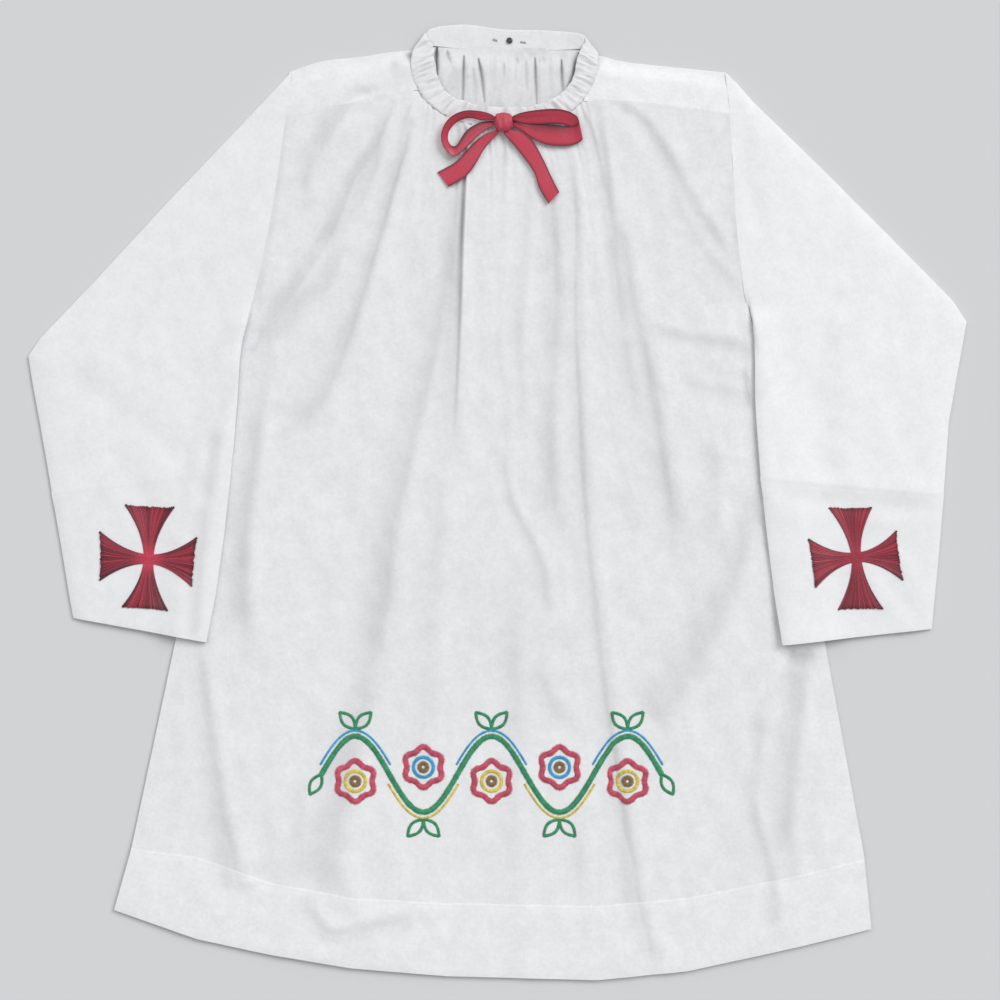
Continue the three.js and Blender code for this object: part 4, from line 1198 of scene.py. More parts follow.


# How much painted shade the sleeves' creases get, then the creases: depth, half width, line.
CREASE_PAINTED_SHADE = 0.03
SLEEVE_CREASES = {
    "left": [
        (1.0, 7, [(-283, 60), (-296, -20), (-302, -80), (-306, -128)]),
        (1.2, 9, [(-262, 120), (-285, 60), (-290, 10)]),
        (0.9, 14, [(-420, 120), (-370, 90), (-330, 60)]),
        (0.9, 10, [(-300, 20), (-303, -40), (-304, -130)]),
        (0.7, 16, [(-380, 60), (-360, 20), (-350, 0)]),
        (0.6, 10, [(-300, 250), (-280, 200), (-270, 160)]),
    ],
    "right": [
        (1.1, 12, [(330, 160), (325, 90), (332, 34)]),
        (0.9, 12, [(390, 130), (410, 70), (424, 30)]),
        (0.8, 10, [(240, 380), (252, 330), (262, 280)]),
        (0.6, 14, [(300, 130), (290, 80), (285, 30)]),
        (0.8, 9, [(392, -70), (404, -92), (420, -116)]),
        (1.1, 10, [(290, 8), (340, 2), (400, -2), (430, -6)]),
    ],
}


def sleeve_creases(x, y, side):
    total = np.zeros(x.shape)
    for depth, half, line in SLEEVE_CREASES[side]:
        distance, _, _ = nearest_on(spline(line, np.linspace(0, 1, 8)), x, y)
        off = distance / half
        total += depth * (0.4 * np.exp(-((off - SHOULDER_AT) ** 2)) - np.exp(-off * off))
    return total


def make_sleeve(side):
    wall = settings("cloth").wall / MM
    slant = 0.25 if side == "left" else -0.25
    material = cotton("sleeve_" + side, 0.13, slant)
    piece = flat_tube("sleeve_%s_cloth" % side, SLEEVES[side], wall, side, material, 9, "sleeve")
    dress(piece, "sleeve_" + side)

    doubled = settings("cloth").doubled_wall / MM
    material = cotton("cuff_" + side, 0.11, slant)
    piece = flat_tube("cuff_%s_cloth" % side, CUFFS[side], doubled, side, material, 20, "cuff")
    dress(piece, "cuff_" + side)


# ---------------------------------------------------------------------------------------------
# Neckband, stud, bow
# ---------------------------------------------------------------------------------------------
def make_neckband():
    around, rows = 520, 15
    shares = np.linspace(0, 1, around, endpoint=False)
    sewn, free = sewn_loop(shares), free_loop(shares)
    down = np.linspace(0, 1, rows)[:, None, None]
    # The back of the band lies smooth; the sides and the front are drawn up by the gathers.
    drawn = smooth((np.minimum(shares, 1 - shares) - 0.09) / 0.1)[None, :]
    along, across = shares[None, :] * BAND_LENGTH, down[..., 0] * 16
    pucker = cloud(along, across * 0.5, 4.6, SEED + 61) + 0.7 * cloud(along, across * 0.4, 2.5, SEED + 62)
    level = 0 * along
    frill = (0.9 * cloud(along, level, 9, SEED + 63) + 0.6 * cloud(along, level, 4.5, SEED + 64)) * drawn
    out = (free - sewn) / np.linalg.norm(free - sewn, axis=1)[:, None]
    middle = mix(free[None], sewn[None], down) + (frill * (1 - down[..., 0]) ** 2)[..., None] * out[None]
    normal = grid_normals(middle, loop=True)
    half = settings("cloth").doubled_wall / MM / 2
    rounded = np.sqrt(np.clip(1 - (2 * down - 1) ** 4, 0.02, 1))
    # At the back only the free edge is rounded; the sewn edge lies level with the panel.
    crown = mix(np.where(down < 0.5, rounded, 1.0), rounded, drawn[..., None])
    swell = 0.62 * (pucker * (0.1 + 0.9 * drawn))[..., None] * crown
    outer = middle + normal * (half * (0.3 + 0.7 * crown) + swell)
    inner = middle - normal * (half * (0.3 + 0.7 * crown) - 0.6 * swell)
    # Painted shade in the hollows of the puckers.
    grey = 0.2 * np.clip(-pucker, 0, 1) * drawn
    band = wall_piece("neckband_cloth", outer, inner, cotton("neckband"), loop=True, shade=grey)
    dress(band, "neckband")

    colour = tuple(settings("colours").stud)
    material, tree, shader = principled("stud enamel", colour, 0.32)
    spot = add(tree, "ShaderNodeTexCoord")
    wear = group_node(tree, thread_sheen(), Colour=(*colour, 1), Uneven=0.3)
    tree.links.new(spot.outputs["Object"], wear.inputs["Vector"])
    tree.links.new(wear.outputs["Colour"], shader.inputs["Base Color"])
    bottom = 2.9
    profile = [(0.02, 0), (1.2, 0), (1.2, 0.7), (2.7, 0.7), (3.0, 0.82), (3.1, 1.1), (2.95, 1.4),
               (2.5, 1.8), (1.9, 2.05), (1.5, 2.1), (1.2, 2.0), (0.8, 2.1), (0.4, 2.2), (0.02, 2.24)]
    turns = np.linspace(0, 2 * np.pi, 48, endpoint=False)
    x, y = STUD_AT
    rings = np.array([[(x + r * math.cos(t), y + r * math.sin(t), bottom + z) for t in turns]
                      for r, z in profile])
    count = len(turns)
    faces = ring_faces(len(profile), count)
    faces.append(list(range(count))[::-1])
    faces.append([(len(profile) - 1) * count + k for k in range(count)])
    stud = new_piece("neck_stud_finish", rings.reshape(-1, 3), faces, material)
    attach(stud, BODY)
    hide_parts("neck_stud")


def into_knot(row):
    """The ribbon's last row moved on into the knot."""
    middle = np.array(KNOT_AT)
    return tuple(tuple(mix(np.array(point), middle, (0.5, 0.5, 0.2))) for point in row)


def make_bow():
    satin = satin_material("ribbon satin", tuple(settings("colours").ribbon))
    for name, rows in RIBBONS.items():
        loop = "loop" in name
        rows = [into_knot(rows[0])] + rows + ([into_knot(rows[-1])] if loop else [])
        at = np.linspace(0, 1, 150 if loop else 70)
        a, b = (spline([r[k] for r in rows], at) for k in (0, 1))
        across = np.linspace(0, 1, 15)[None, :, None]
        to_knot = np.minimum(at, 1 - at) if loop else at
        pinch = 1 - 0.42 * np.exp(-((to_knot / 0.07) ** 2))[:, None, None]
        middle = mix(a[:, None], b[:, None], 0.5 + (across - 0.5) * pinch)
        normal = grid_normals(middle)
        edge = 1 - (2 * across - 1) ** 2
        rng = np.random.default_rng(SEED + len(name))
        waves = np.sin(at * rng.uniform(9, 14) + 1)[:, None, None]
        ripple = 0.3 * waves * (across - 0.5) * (1 if loop else 1.6)
        middle = middle + normal * (0.25 * (edge - 0.5) + ripple)
        normal = grid_normals(middle)
        half = RIBBON_WALL / 2
        side = across[..., 0]
        rim = np.abs(2 * side - 1)
        from_knot = to_knot[:, None]
        # Darker along both edges; painted shade where the ribbon runs into the knot and along a crease near
        # it.
        dark = 0.72 * smooth((rim - 0.66) / 0.34) + 0.62 * np.exp(-((from_knot / 0.08) ** 2))
        crease = np.exp(-(((side - 0.4) / 0.08) ** 2))
        dark = dark + 0.3 * crease * np.exp(-((from_knot - 0.15) / 0.12) ** 2)
        if loop:
            # The loop's lower run lies in the shade of its upper run, so shade is painted on it.
            hollow = 1 - side if name.endswith("left") else side
            dark = dark + 0.7 * smooth((at[:, None] - 0.52) / 0.12) * np.exp(-((hollow / 0.34) ** 2))
        piece = wall_piece(name + "_satin", middle + normal * half, middle - normal * half, satin,
                           shade=np.clip(dark, 0, 0.9))
        dress(piece, name)
    make_knot(satin)


def make_knot(satin):
    """The knot: the ribbon's crossing turn, crowned, with creases that run across it."""
    rows, columns = 40, 64
    lat = np.linspace(-np.pi / 2, np.pi / 2, rows)[1:-1, None]
    lon = np.linspace(0, 2 * np.pi, columns, endpoint=False)[None, :]

    def squared(v, power):
        return np.sign(v) * np.abs(v) ** power

    x = squared(np.cos(lat), 0.8) * squared(np.cos(lon), 0.82)
    y = squared(np.cos(lat), 0.8) * squared(np.sin(lon), 0.82)
    z = squared(np.sin(lat), 0.8) * np.ones_like(lon)
    crease = 0.05 * np.sin(9 * x + 2.0 * y) + 0.035 * np.sin(17 * x - 3 * y + 1)
    size = 0.93 + crease * (z > -0.5)
    waist = 1 - 0.1 * (1 - y * y)
    grid = np.stack([KNOT_AT[0] + KNOT_HALF[0] * x * size * waist,
                     KNOT_AT[1] + KNOT_HALF[1] * y * (0.95 + 0.4 * crease),
                     KNOT_AT[2] + KNOT_HALF[2] * z * size], -1)
    points = np.vstack([grid.reshape(-1, 3), [[KNOT_AT[0], KNOT_AT[1], grid[0, 0, 2]]],
                        [[KNOT_AT[0], KNOT_AT[1], grid[-1, 0, 2]]]])
    n = len(grid)
    faces = ring_faces(n, columns)
    low, high = n * columns, n * columns + 1
    faces += [[low, (c + 1) % columns, c] for c in range(columns)]
    faces += [[high, (n - 1) * columns + c, (n - 1) * columns + (c + 1) % columns] for c in range(columns)]
    full_turn, pole = 6.283, 1.6
    map_grid = np.stack(np.broadcast_arrays(lon / full_turn, (lat + pole) / (2 * pole)), -1)
    uv = np.vstack([map_grid.reshape(-1, 2), [[0, 0]], [[0, 1]]])
    knot = new_piece("ribbon_knot_satin", points, faces, satin, uv)
    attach(knot, BODY)
    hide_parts("ribbon_knot")


# ---------------------------------------------------------------------------------------------
# Embroidery and sewing
# ---------------------------------------------------------------------------------------------
def tree_socket(tree, name, kind, value=None):
    socket = tree.interface.new_socket(name=name, in_out="INPUT", socket_type=kind)
    if value is not None:
        socket.default_value = value
    return socket.identifier


def stitch_tree():
    """Stitches laid at even steps along lines: across the line for satin, along it for sewing."""
    name = "stitches along a line"
    if name in bpy.data.node_groups:
        tree = bpy.data.node_groups[name]
        return tree, {s.name: s.identifier for s in tree.interface.items_tree if s.in_out == "INPUT"}
    tree = bpy.data.node_groups.new(name, "GeometryNodeTree")
    ids = {"Geometry": tree_socket(tree, "Geometry", "NodeSocketGeometry")}
    for label, value in (("Pitch", 0.001), ("Along", 0.001), ("Across", 0.006), ("Thickness", 0.001),
                         ("Uneven", 0.1)):
        ids[label] = tree_socket(tree, label, "NodeSocketFloat", value)
    ids["Seed"] = tree_socket(tree, "Seed", "NodeSocketInt", SEED)
    ids["Material"] = tree_socket(tree, "Material", "NodeSocketMaterial")
    tree.interface.new_socket(name="Geometry", in_out="OUTPUT", socket_type="NodeSocketGeometry")
    start, end = tree.nodes.new("NodeGroupInput"), tree.nodes.new("NodeGroupOutput")
    link = tree.links.new

    def node(kind, **values):
        made = tree.nodes.new(kind)
        for key, value in values.items():
            setattr(made, key, value)
        return made

    lines = node("GeometryNodeMeshToCurve")
    link(start.outputs["Geometry"], lines.inputs["Mesh"])
    steps = node("GeometryNodeCurveToPoints", mode="LENGTH")
    link(lines.outputs[0], steps.inputs["Curve"])
    link(start.outputs["Pitch"], steps.inputs["Length"])
    stitch = node("GeometryNodeMeshUVSphere")
    stitch.inputs["Radius"].default_value = 0.5
    stitch.inputs["Segments"].default_value = 8
    stitch.inputs["Rings"].default_value = 4
    jitter = node("FunctionNodeRandomValue", data_type="FLOAT")
    link(start.outputs["Seed"], jitter.inputs["Seed"])
    spread = node("ShaderNodeMath", operation="MULTIPLY_ADD")
    scaled = node("ShaderNodeMath", operation="SUBTRACT")
    link(jitter.outputs[1], scaled.inputs[0])
    scaled.inputs[1].default_value = 0.5
    link(scaled.outputs[0], spread.inputs[0])
    link(start.outputs["Uneven"], spread.inputs[1])
    spread.inputs[2].default_value = 1.0
    wide = node("ShaderNodeMath", operation="MULTIPLY")
    link(start.outputs["Across"], wide.inputs[0])
    link(spread.outputs[0], wide.inputs[1])
    size = node("ShaderNodeCombineXYZ")
    link(wide.outputs[0], size.inputs["X"])
    link(start.outputs["Thickness"], size.inputs["Y"])
    link(start.outputs["Along"], size.inputs["Z"])
    turned = node("FunctionNodeAlignRotationToVector", axis="Z")
    link(steps.outputs["Tangent"], turned.inputs["Vector"])
    level = node("FunctionNodeAlignRotationToVector", axis="Y", pivot_axis="Z")
    level.inputs["Vector"].default_value = (0, 0, 1)
    link(turned.outputs[0], level.inputs["Rotation"])
    placed = node("GeometryNodeInstanceOnPoints")
    link(steps.outputs["Points"], placed.inputs["Points"])
    link(stitch.outputs["Mesh"], placed.inputs["Instance"])
    link(level.outputs[0], placed.inputs["Rotation"])
    link(size.outputs[0], placed.inputs["Scale"])
    real = node("GeometryNodeRealizeInstances")
    link(placed.outputs[0], real.inputs[0])
    shaded = node("GeometryNodeSetShadeSmooth")
    link(real.outputs[0], shaded.inputs[0])
    paint = node("GeometryNodeSetMaterial")
    link(shaded.outputs[0], paint.inputs["Geometry"])
    link(start.outputs["Material"], paint.inputs["Material"])
    link(paint.outputs[0], end.inputs[0])
    return tree, ids


def fan_tree():
    """Threads drawn along given lines, thick where the line's own radius says so."""
    name = "threads along lines"
    if name in bpy.data.node_groups:
        tree = bpy.data.node_groups[name]
        return tree, {s.name: s.identifier for s in tree.interface.items_tree if s.in_out == "INPUT"}
    tree = bpy.data.node_groups.new(name, "GeometryNodeTree")
    ids = {"Geometry": tree_socket(tree, "Geometry", "NodeSocketGeometry")}
    ids["Thread"] = tree_socket(tree, "Thread", "NodeSocketFloat", 1.0)
    ids["Material"] = tree_socket(tree, "Material", "NodeSocketMaterial")
    tree.interface.new_socket(name="Geometry", in_out="OUTPUT", socket_type="NodeSocketGeometry")
    start, end = tree.nodes.new("NodeGroupInput"), tree.nodes.new("NodeGroupOutput")
    link = tree.links.new
    lines = tree.nodes.new("GeometryNodeMeshToCurve")
    link(start.outputs["Geometry"], lines.inputs["Mesh"])
    own = tree.nodes.new("GeometryNodeInputNamedAttribute")
    own.data_type = "FLOAT"
    own.inputs["Name"].default_value = "half"
    times = tree.nodes.new("ShaderNodeMath")
    times.operation = "MULTIPLY"
    link(own.outputs["Attribute"], times.inputs[0])
    link(start.outputs["Thread"], times.inputs[1])
    thick = tree.nodes.new("GeometryNodeSetCurveRadius")
    link(lines.outputs[0], thick.inputs["Curve"])
    link(times.outputs[0], thick.inputs["Radius"])
    ring = tree.nodes.new("GeometryNodeCurvePrimitiveCircle")
    ring.inputs["Resolution"].default_value = 7
    ring.inputs["Radius"].default_value = 1.0
    tube = tree.nodes.new("GeometryNodeCurveToMesh")
    link(thick.outputs[0], tube.inputs["Curve"])
    link(ring.outputs["Curve"], tube.inputs["Profile Curve"])
    tube.inputs["Fill Caps"].default_value = True
    if "Scale" in tube.inputs:
        link(times.outputs[0], tube.inputs["Scale"])
    real = tree.nodes.new("GeometryNodeRealizeInstances")
    link(tube.outputs[0], real.inputs[0])
    paint = tree.nodes.new("GeometryNodeSetMaterial")
    link(real.outputs[0], paint.inputs["Geometry"])
    link(start.outputs["Material"], paint.inputs["Material"])
    link(paint.outputs[0], end.inputs[0])
    return tree, ids


def line_object(lines, **stored):
    """A wire mesh of the given lines, in millimetres, with a named number stored at each point."""
    points, edges = [], []
    for line in lines:
        base = len(points)
        points += [tuple(np.asarray(p) * MM) for p in line]
        edges += [(base + i, base + i + 1) for i in range(len(line) - 1)]
    mesh = bpy.data.meshes.new("lines")
    mesh.from_pydata(points, edges, [])
    for name, values in stored.items():
        mesh.attributes.new(name, "FLOAT", "POINT").data.foreach_set("value", np.concatenate(values))
    made = bpy.data.objects.new("lines", mesh)
    bpy.context.scene.collection.objects.link(made)
    return made


def through_nodes(source, built, values):
    """The plain mesh that a node tree makes of an object."""
    tree, ids = built
    modifier = source.modifiers.new("made", "NODES")
    modifier.node_group = tree
    for label, value in values.items():
        modifier[ids[label]] = value
    source.update_tag()
    bpy.context.view_layer.update()
    evaluated = source.evaluated_get(bpy.context.evaluated_depsgraph_get())
    mesh = bpy.data.meshes.new_from_object(evaluated)
    bpy.data.objects.remove(source)
    return mesh


def joined_piece(name, meshes):
    """One object from several meshes, each with its own materials."""
    objects = []
    for mesh in meshes:
        made = bpy.data.objects.new(name, mesh)
        bpy.context.scene.collection.objects.link(made)
        objects.append(made)
    piece = objects[0]
    if len(objects) > 1:
        with bpy.context.temp_override(active_object=piece, selected_editable_objects=objects,
                                       object=piece, selected_objects=objects):
            bpy.ops.object.join()
    piece.name = name
    piece.data.name = name
    piece.data.polygons.foreach_set("use_smooth", np.ones(len(piece.data.polygons), bool))
    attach(piece, BODY)
    return piece


def surface_of(piece):
    """Looks straight down on a finished piece: height in millimetres at x, y in millimetres."""
    from mathutils.bvhtree import BVHTree

    tree = BVHTree.FromObject(piece, bpy.context.evaluated_depsgraph_get())

    def height(x, y):
        hit = tree.ray_cast((x * MM, y * MM, 0.1), (0, 0, -1))
        return hit[0].z / MM if hit[0] is not None else None

    return height


def on_surface(points, height, lift):
    """The points at the surface's height, with gaps taken from the point before."""
    last, out = 6.0, []
    for x, y in points:
        z = height(x, y)
        last = last if z is None else z
        out.append((x, y, last + lift))
    return out


def stepped(a, b, step=2.0):
    a, b = np.asarray(a, float), np.asarray(b, float)
    count = max(int(np.linalg.norm(b - a) / step), 2)
    return [tuple(mix(a, b, t)) for t in np.linspace(0, 1, count + 1)]


def make_cross(side):
    """A cross with four spreading arms in fanned satin threads, dark at the tips and bright at the waist."""
    threads = settings("threads")
    height = surface_of(bpy.data.objects["cuff_%s_cloth" % side])
    data = CROSSES[side]
    middle = np.array(data["middle"], float)
    rng = np.random.default_rng(SEED + 40 + (side == "right"))
    lines, halves, shades = [], [], []
    count, waist = threads.cross_threads, 4.6
    shaft = np.linspace(0, 1, 12)
    for a, b in data["arms"]:
        a, b = np.array(a, float), np.array(b, float)
        end = (a + b) / 2
        outward = (end - middle) / np.linalg.norm(end - middle)
        sideways = np.array([-outward[1], outward[0]])
        if np.dot(b - a, sideways) < 0:
            a, b = b, a
        for t in (np.arange(count) + 0.5) / count:
            spread = 2 * t - 1
            tip = mix(a, b, t) + outward * (rng.uniform(-0.5, 0.5) + 1.1 * abs(spread) ** 6)
            reach, tip_side = np.dot(tip - middle, outward), np.dot(tip - middle, sideways)
            # The arm's sides curve in towards its waist.
            side_here = mix(spread * waist, tip_side, shaft ** 1.9)
            path = middle + outward * mix(0.5, reach, shaft)[:, None] + sideways * side_here[:, None]
            lines.append(on_surface(path, height, 0.35 + 0.25 * rng.uniform()))
            halves.append((0.42 + 0.72 * shaft ** 1.5) * rng.uniform(0.85, 1.12) * MM)
            rim = 0.3 * smooth((abs(spread) - 0.72) / 0.2)
            tip_dark = 0.4 * smooth((shaft - 0.9) / 0.08)
            own = data["grey"] + rng.choice([-0.42, -0.12, 0.1, 0.2], p=[0.2, 0.25, 0.3, 0.25])
            shades.append(np.clip(mix(data["waist"], own + rim, smooth(shaft / 0.42)) + tip_dark, -0.8, 0.88))
    # A few bright threads cross over the middle where the arms meet.
    for turn in (0, 1):
        step = (data["arms"][turn][0] + np.array(data["arms"][turn][1])) / 2 - middle
        step = step / np.linalg.norm(step)
        sideways = np.array([-step[1], step[0]])
        for off in np.linspace(-2.6, 2.6, 5):
            path = middle + sideways * off + step * np.linspace(-8, 8, 9)[:, None]
            lines.append(on_surface(path, height, 0.75 + 0.15 * turn))
            halves.append(np.full(9, 0.55 * MM) * np.sin(np.linspace(0.5, np.pi - 0.5, 9)))
            shades.append(np.full(9, data["waist"] + rng.uniform(-0.25, 0.15)))
    material = thread_material("dark red thread", tuple(settings("colours").red), 0.25)
    mesh = through_nodes(line_object(lines, half=halves, shade=shades), fan_tree(),
                         {"Thread": 1.0, "Material": material})
    joined_piece("cross_%s_stitching" % side, [mesh])


def hem_design():
    """Lines of the hem's design by colour and width: a waved stem with leaves, and a flower in each bay."""
    middle = np.array(DESIGN_AT)
    wave, high, bends = STEM["wave"], STEM["high"], STEM["bends"]
    steepest = high * 2 * np.pi / wave
    lines = {("green", 0.8): [], ("gold", 0.32): [], ("blue", 0.32): [], ("green", 0.45): [],
             ("rose", 0.85): [], ("gold", 0.5): [], ("blue", 0.5): [], ("brown", 0.68): []}

    def stem(first, last, away=0.0):
        """The stem from one place to another, counted in bends, moved off towards its upper side."""
        place = np.linspace(first, last, int((last - first) * STEM["points"]) + 1)
        slope = steepest * np.cos(np.pi * place)
        side = away / np.sqrt(1 + slope ** 2)
        return middle + np.column_stack([wave / 2 * (place - bends / 2) - side * slope,
                                         high * np.sin(np.pi * place) + side])

    def leaf(base, turn):
        """Both sides of a pointed oval that grows from its base, turned from straight up."""
        share = np.linspace(0, 1, 13)[:, None]
        way, side = np.array([np.sin(turn), np.cos(turn)]), np.array([np.cos(turn), -np.sin(turn)])
        return [base + LEAVES["long"] * share * way + half * np.sin(np.pi * share) * side
                for half in (LEAVES["half_wide"], -LEAVES["half_wide"])]

    around = np.linspace(0, 2 * np.pi, 61)
    ring = np.column_stack([np.sin(around), np.cos(around)])
    petals = FLOWERS["rose"] + FLOWERS["petal_deep"] * np.cos(FLOWERS["petals"] * around)
    lines["green", 0.8].append(stem(0, bends))
    for bend in range(bends):
        up = 1 - 2 * (bend % 2)
        outer, inner = ("blue", "gold") if up > 0 else ("gold", "blue")
        # A thin second colour runs along the outside of the bend.
        lines[outer, 0.32].append(stem(bend + STEM["second_trim"], bend + 1 - STEM["second_trim"],
                                       up * STEM["second_off"]))
        x = wave / 2 * (bend + 0.5 - bends / 2)
        for turn in LEAVES["turns"]:
            lines["green", 0.45] += leaf(middle + (x, up * (high + LEAVES["from_stem"])),
                                         turn if up > 0 else np.pi - turn)
        centre = middle + (x, -up * FLOWERS["off"])
        lines["rose", 0.85].append(centre + ring * petals[:, None])
        lines[inner, 0.5].append(centre + ring * FLOWERS["second"])
        lines["brown", 0.68].append(centre + ring * FLOWERS["brown"])
    # The stem runs out in one leaf at each end.
    for end, turn in ((0, np.pi + np.arctan(1 / steepest)), (bends, np.pi - np.arctan(1 / steepest))):
        lines["green", 0.45] += leaf(middle + (wave / 2 * (end - bends / 2), 0.0), turn)
    return lines


def make_hem_design():
    threads = settings("threads")
    colours = settings("colours")
    height = surface_of(bpy.data.objects["front_cloth"])
    rng = np.random.default_rng(SEED + 70)
    meshes = []
    for (colour, share), lines in hem_design().items():
        placed = [on_surface(line, height, 0.25) for line in lines]
        shades = [rng.uniform(-0.25, 0.22, len(line)) for line in placed]
        material = thread_material(colour + " thread", tuple(getattr(colours, colour)), 0.35)
        meshes.append(through_nodes(line_object(placed, shade=shades), stitch_tree(), {
            "Pitch": threads.satin_pitch, "Along": threads.thread * 1.25,
            "Across": threads.satin_width * share, "Thickness": threads.thread * 1.3, "Uneven": 0.22,
            "Seed": SEED, "Material": material}))
    joined_piece("hem_embroidery", meshes)


def seam_lines():
    """Where the machine stitching runs: piece to look down on, and the line in millimetres."""
    places = column_shares()
    x, y = hem_places([0, 1], places)
    hem = list(zip(x[0], hem_seam(x[0]) - 3.4))
    found = [("hem_front_cloth", hem[3:-3])]
    for side in ("left", "right"):
        first, second = CUFFS[side][0], CUFFS[side][1]
        a, b = (np.array(p, float) for p in first)
        down = (np.array(second[0], float) - a) / np.linalg.norm(np.array(second[0], float) - a) * 3.0
        found.append(("cuff_%s_cloth" % side, stepped(mix(a, b, 0.03) + down, mix(a, b, 0.97) + down)))
        seam, fold = (spline(STRAPS[side][k], np.linspace(0.03, 0.97, 60)) for k in ("seam", "fold"))
        found.append(("front_cloth", [tuple(p) for p in mix(seam, fold, -0.08)]))
    shares = np.linspace(4.4 / 14, 9.3 / 14, 90)
    sewn, free = sewn_loop(shares)[:, :2], free_loop(shares)[:, :2]
    for part in (0.1, 0.9):
        found.append(("neckband_cloth", [tuple(p) for p in mix(sewn, free, part)]))
    shares = np.linspace(-1.0 / 14, 1.0 / 14, 50)
    sewn, free = sewn_loop(shares)[:, :2], free_loop(shares)[:, :2]
    for part in (0.12, 0.88):
        found.append(("neckband_cloth", [tuple(p) for p in mix(sewn, free, part)]))
    return found


def make_seams():
    threads = settings("threads")
    cream = thread_material("sewing thread", tuple(settings("colours").cotton), 0.1, roughness=0.6)
    cache, lines = {}, []
    for name, line in seam_lines():
        if name not in cache:
            cache[name] = surface_of(bpy.data.objects[name])
        lines.append(on_surface(line, cache[name], 0.0))
    bars = [on_surface(bar, cache["neckband_cloth"], 0.15) for bar in TACKS]
    sewing = through_nodes(line_object(lines), stitch_tree(), {
        "Pitch": threads.seam_pitch, "Along": threads.seam_pitch * 0.8, "Across": threads.seam_thread,
        "Thickness": threads.seam_thread, "Uneven": 0.1, "Seed": SEED, "Material": cream})
    grey = thread_material("grey thread", TACK_COLOUR, 0.3, roughness=0.6)
    tacks = through_nodes(line_object(bars), stitch_tree(), {
        "Pitch": 0.0007, "Along": 0.0008, "Across": 0.0024, "Thickness": 0.0006, "Uneven": 0.5,
        "Seed": SEED, "Material": grey})
    joined_piece("seam_stitching", [sewing, tacks])


# ---------------------------------------------------------------------------------------------
# Stage
# ---------------------------------------------------------------------------------------------
def make_stage():
    stage = settings("stage")
    colour = tuple(settings("colours").floor)
    mesh = bpy.data.meshes.new("floor")
    size, level = 6.0, -0.0002
    mesh.from_pydata([(-size, -size, level), (size, -size, level), (size, size, level), (-size, size, level)],
                     [], [(0, 1, 2, 3)])
    mesh.materials.append(principled("floor paper", colour, 0.9, specular=0.1)[0])
    floor = bpy.data.objects.new("floor", mesh)
    bpy.context.scene.collection.objects.link(floor)

    world = bpy.data.worlds.new("soft sky")
    world.use_nodes = True
    background = world.node_tree.nodes["Background"]
    background.inputs["Color"].default_value = (1, 1, 1, 1)
    background.inputs["Strength"].default_value = stage.sky
    bpy.context.scene.world = world

    def lamp(name, strength, width, place):
        """A far, wide lamp, so that the whole floor is lit alike."""
        light = bpy.data.lights.new(name, "SUN")
        light.energy = strength
        light.angle = math.radians(width)
        made = bpy.data.objects.new(name, light)
        made.location = place
        made.rotation_euler = (math.atan2(math.hypot(place[0], place[1]), place[2]), 0,
                               math.atan2(place[1], place[0]) + math.pi / 2)
        bpy.context.scene.collection.objects.link(made)

    lamp("key", stage.key, 36, (1.6, 1.3, 2.1))
    lamp("fill", stage.fill, 50, (-1.6, 1.5, 2.6))

    camera = bpy.data.cameras.new("camera")
    camera.type = "PERSP"
    camera.lens = stage.lens
    camera.sensor_width = 36.0
    camera.clip_end = 50.0
    seen = bpy.data.objects.new("camera", camera)
    distance = stage.width * camera.lens / camera.sensor_width
    seen.location = (0.0025, 0.002, 0.004 + distance)
    bpy.context.scene.collection.objects.link(seen)
    bpy.context.scene.camera = seen
    view = bpy.context.scene.view_settings
    view.view_transform = "Standard"
    view.look = "None"
    view.exposure = 0.0
    view.gamma = 1.0


# ---------------------------------------------------------------------------------------------
# Operators and panel
# ---------------------------------------------------------------------------------------------
class ROCHET_OT_body(Operator):
    """Make the gathered front and back and the hem band"""

    bl_idname = "rochet.body"
    bl_label = "Body and hem"

    def execute(self, context):
        make_body()
        return {"FINISHED"}


class ROCHET_OT_shoulders(Operator):
    """Make the straps that are folded over the shoulders"""

    bl_idname = "rochet.shoulders"
    bl_label = "Shoulder straps"

    def execute(self, context):
        for side in ("left", "right"):
            make_strap(side)
        return {"FINISHED"}


class ROCHET_OT_sleeves(Operator):
    """Make the bent sleeves and their doubled cuffs"""

    bl_idname = "rochet.sleeves"
    bl_label = "Sleeves and cuffs"

    def execute(self, context):
        for side in ("left", "right"):
            make_sleeve(side)
        return {"FINISHED"}


class ROCHET_OT_neckband(Operator):
    """Make the neckband and its stud"""

    bl_idname = "rochet.neckband"
    bl_label = "Neckband and stud"

    def execute(self, context):
        make_neckband()
        return {"FINISHED"}


class ROCHET_OT_bow(Operator):
    """Make the ribbon bow"""

    bl_idname = "rochet.bow"
    bl_label = "Ribbon bow"

    def execute(self, context):
        make_bow()
        return {"FINISHED"}


class ROCHET_OT_crosses(Operator):
    """Embroider the crosses on the cuffs"""

    bl_idname = "rochet.crosses"
    bl_label = "Cuff crosses"

    def execute(self, context):
        for side in ("left", "right"):
            make_cross(side)
        return {"FINISHED"}


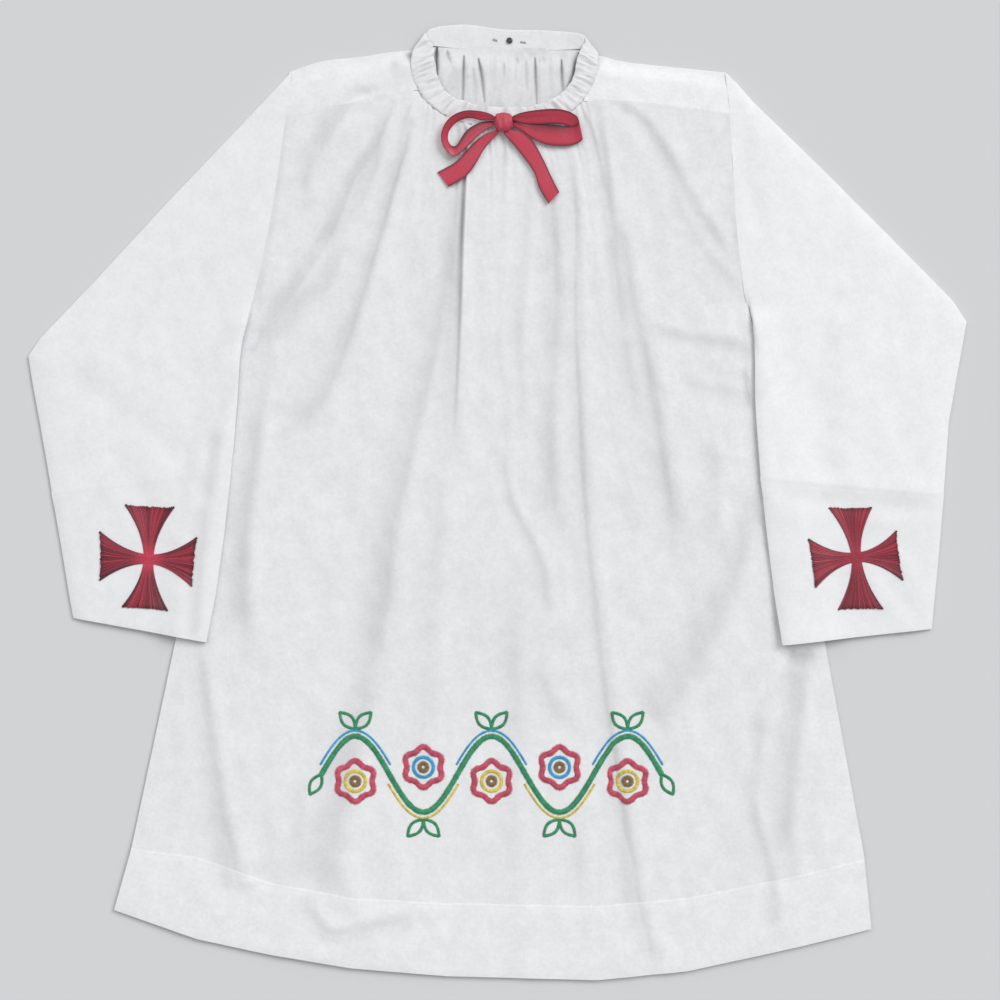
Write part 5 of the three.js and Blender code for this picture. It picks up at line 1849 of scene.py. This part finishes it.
class ROCHET_OT_hem_design(Operator):
    """Embroider the design above the hem"""

    bl_idname = "rochet.hem_design"
    bl_label = "Hem embroidery"

    def execute(self, context):
        make_hem_design()
        return {"FINISHED"}


class ROCHET_OT_seams(Operator):
    """Sew the visible lines of machine stitching"""

    bl_idname = "rochet.seams"
    bl_label = "Machine stitching"

    def execute(self, context):
        make_seams()
        return {"FINISHED"}


class ROCHET_OT_stage(Operator):
    """Set the floor, the light and the camera"""

    bl_idname = "rochet.stage"
    bl_label = "Floor, light and camera"

    def execute(self, context):
        make_stage()
        return {"FINISHED"}


OPERATORS = (ROCHET_OT_stage, ROCHET_OT_body, ROCHET_OT_shoulders, ROCHET_OT_sleeves, ROCHET_OT_neckband,
             ROCHET_OT_bow, ROCHET_OT_crosses, ROCHET_OT_hem_design, ROCHET_OT_seams)


class ROCHET_PT_panel(Panel):
    """Lists the steps that make the rochet"""

    bl_idname = "ROCHET_PT_panel"
    bl_label = "Rochet"
    bl_space_type = "VIEW_3D"
    bl_region_type = "UI"
    bl_category = "Rochet"

    def draw(self, context):
        for operator in OPERATORS:
            self.layout.operator(operator.bl_idname)
        for name in GROUPS:
            box = self.layout.box()
            group = getattr(context.scene, "rochet_" + name)
            for key in group.__annotations__:
                box.prop(group, key)


GROUPS = {"cloth": RochetCloth, "colours": RochetColours, "threads": RochetThreads, "stage": RochetStage}


def register():
    for made in (*GROUPS.values(), *OPERATORS, ROCHET_PT_panel):
        bpy.utils.register_class(made)
    for name, group in GROUPS.items():
        setattr(bpy.types.Scene, "rochet_" + name, PointerProperty(type=group))


def unregister():
    for name in GROUPS:
        delattr(bpy.types.Scene, "rochet_" + name)
    for made in reversed((*GROUPS.values(), *OPERATORS, ROCHET_PT_panel)):
        bpy.utils.unregister_class(made)


def main():
    register()
    bpy.ops.rochet.stage()
    bpy.ops.rochet.body()
    bpy.ops.rochet.shoulders()
    bpy.ops.rochet.sleeves()
    bpy.ops.rochet.neckband()
    bpy.ops.rochet.bow()
    bpy.ops.rochet.crosses()
    bpy.ops.rochet.hem_design()
    bpy.ops.rochet.seams()


if __name__ == "__main__":
    main()
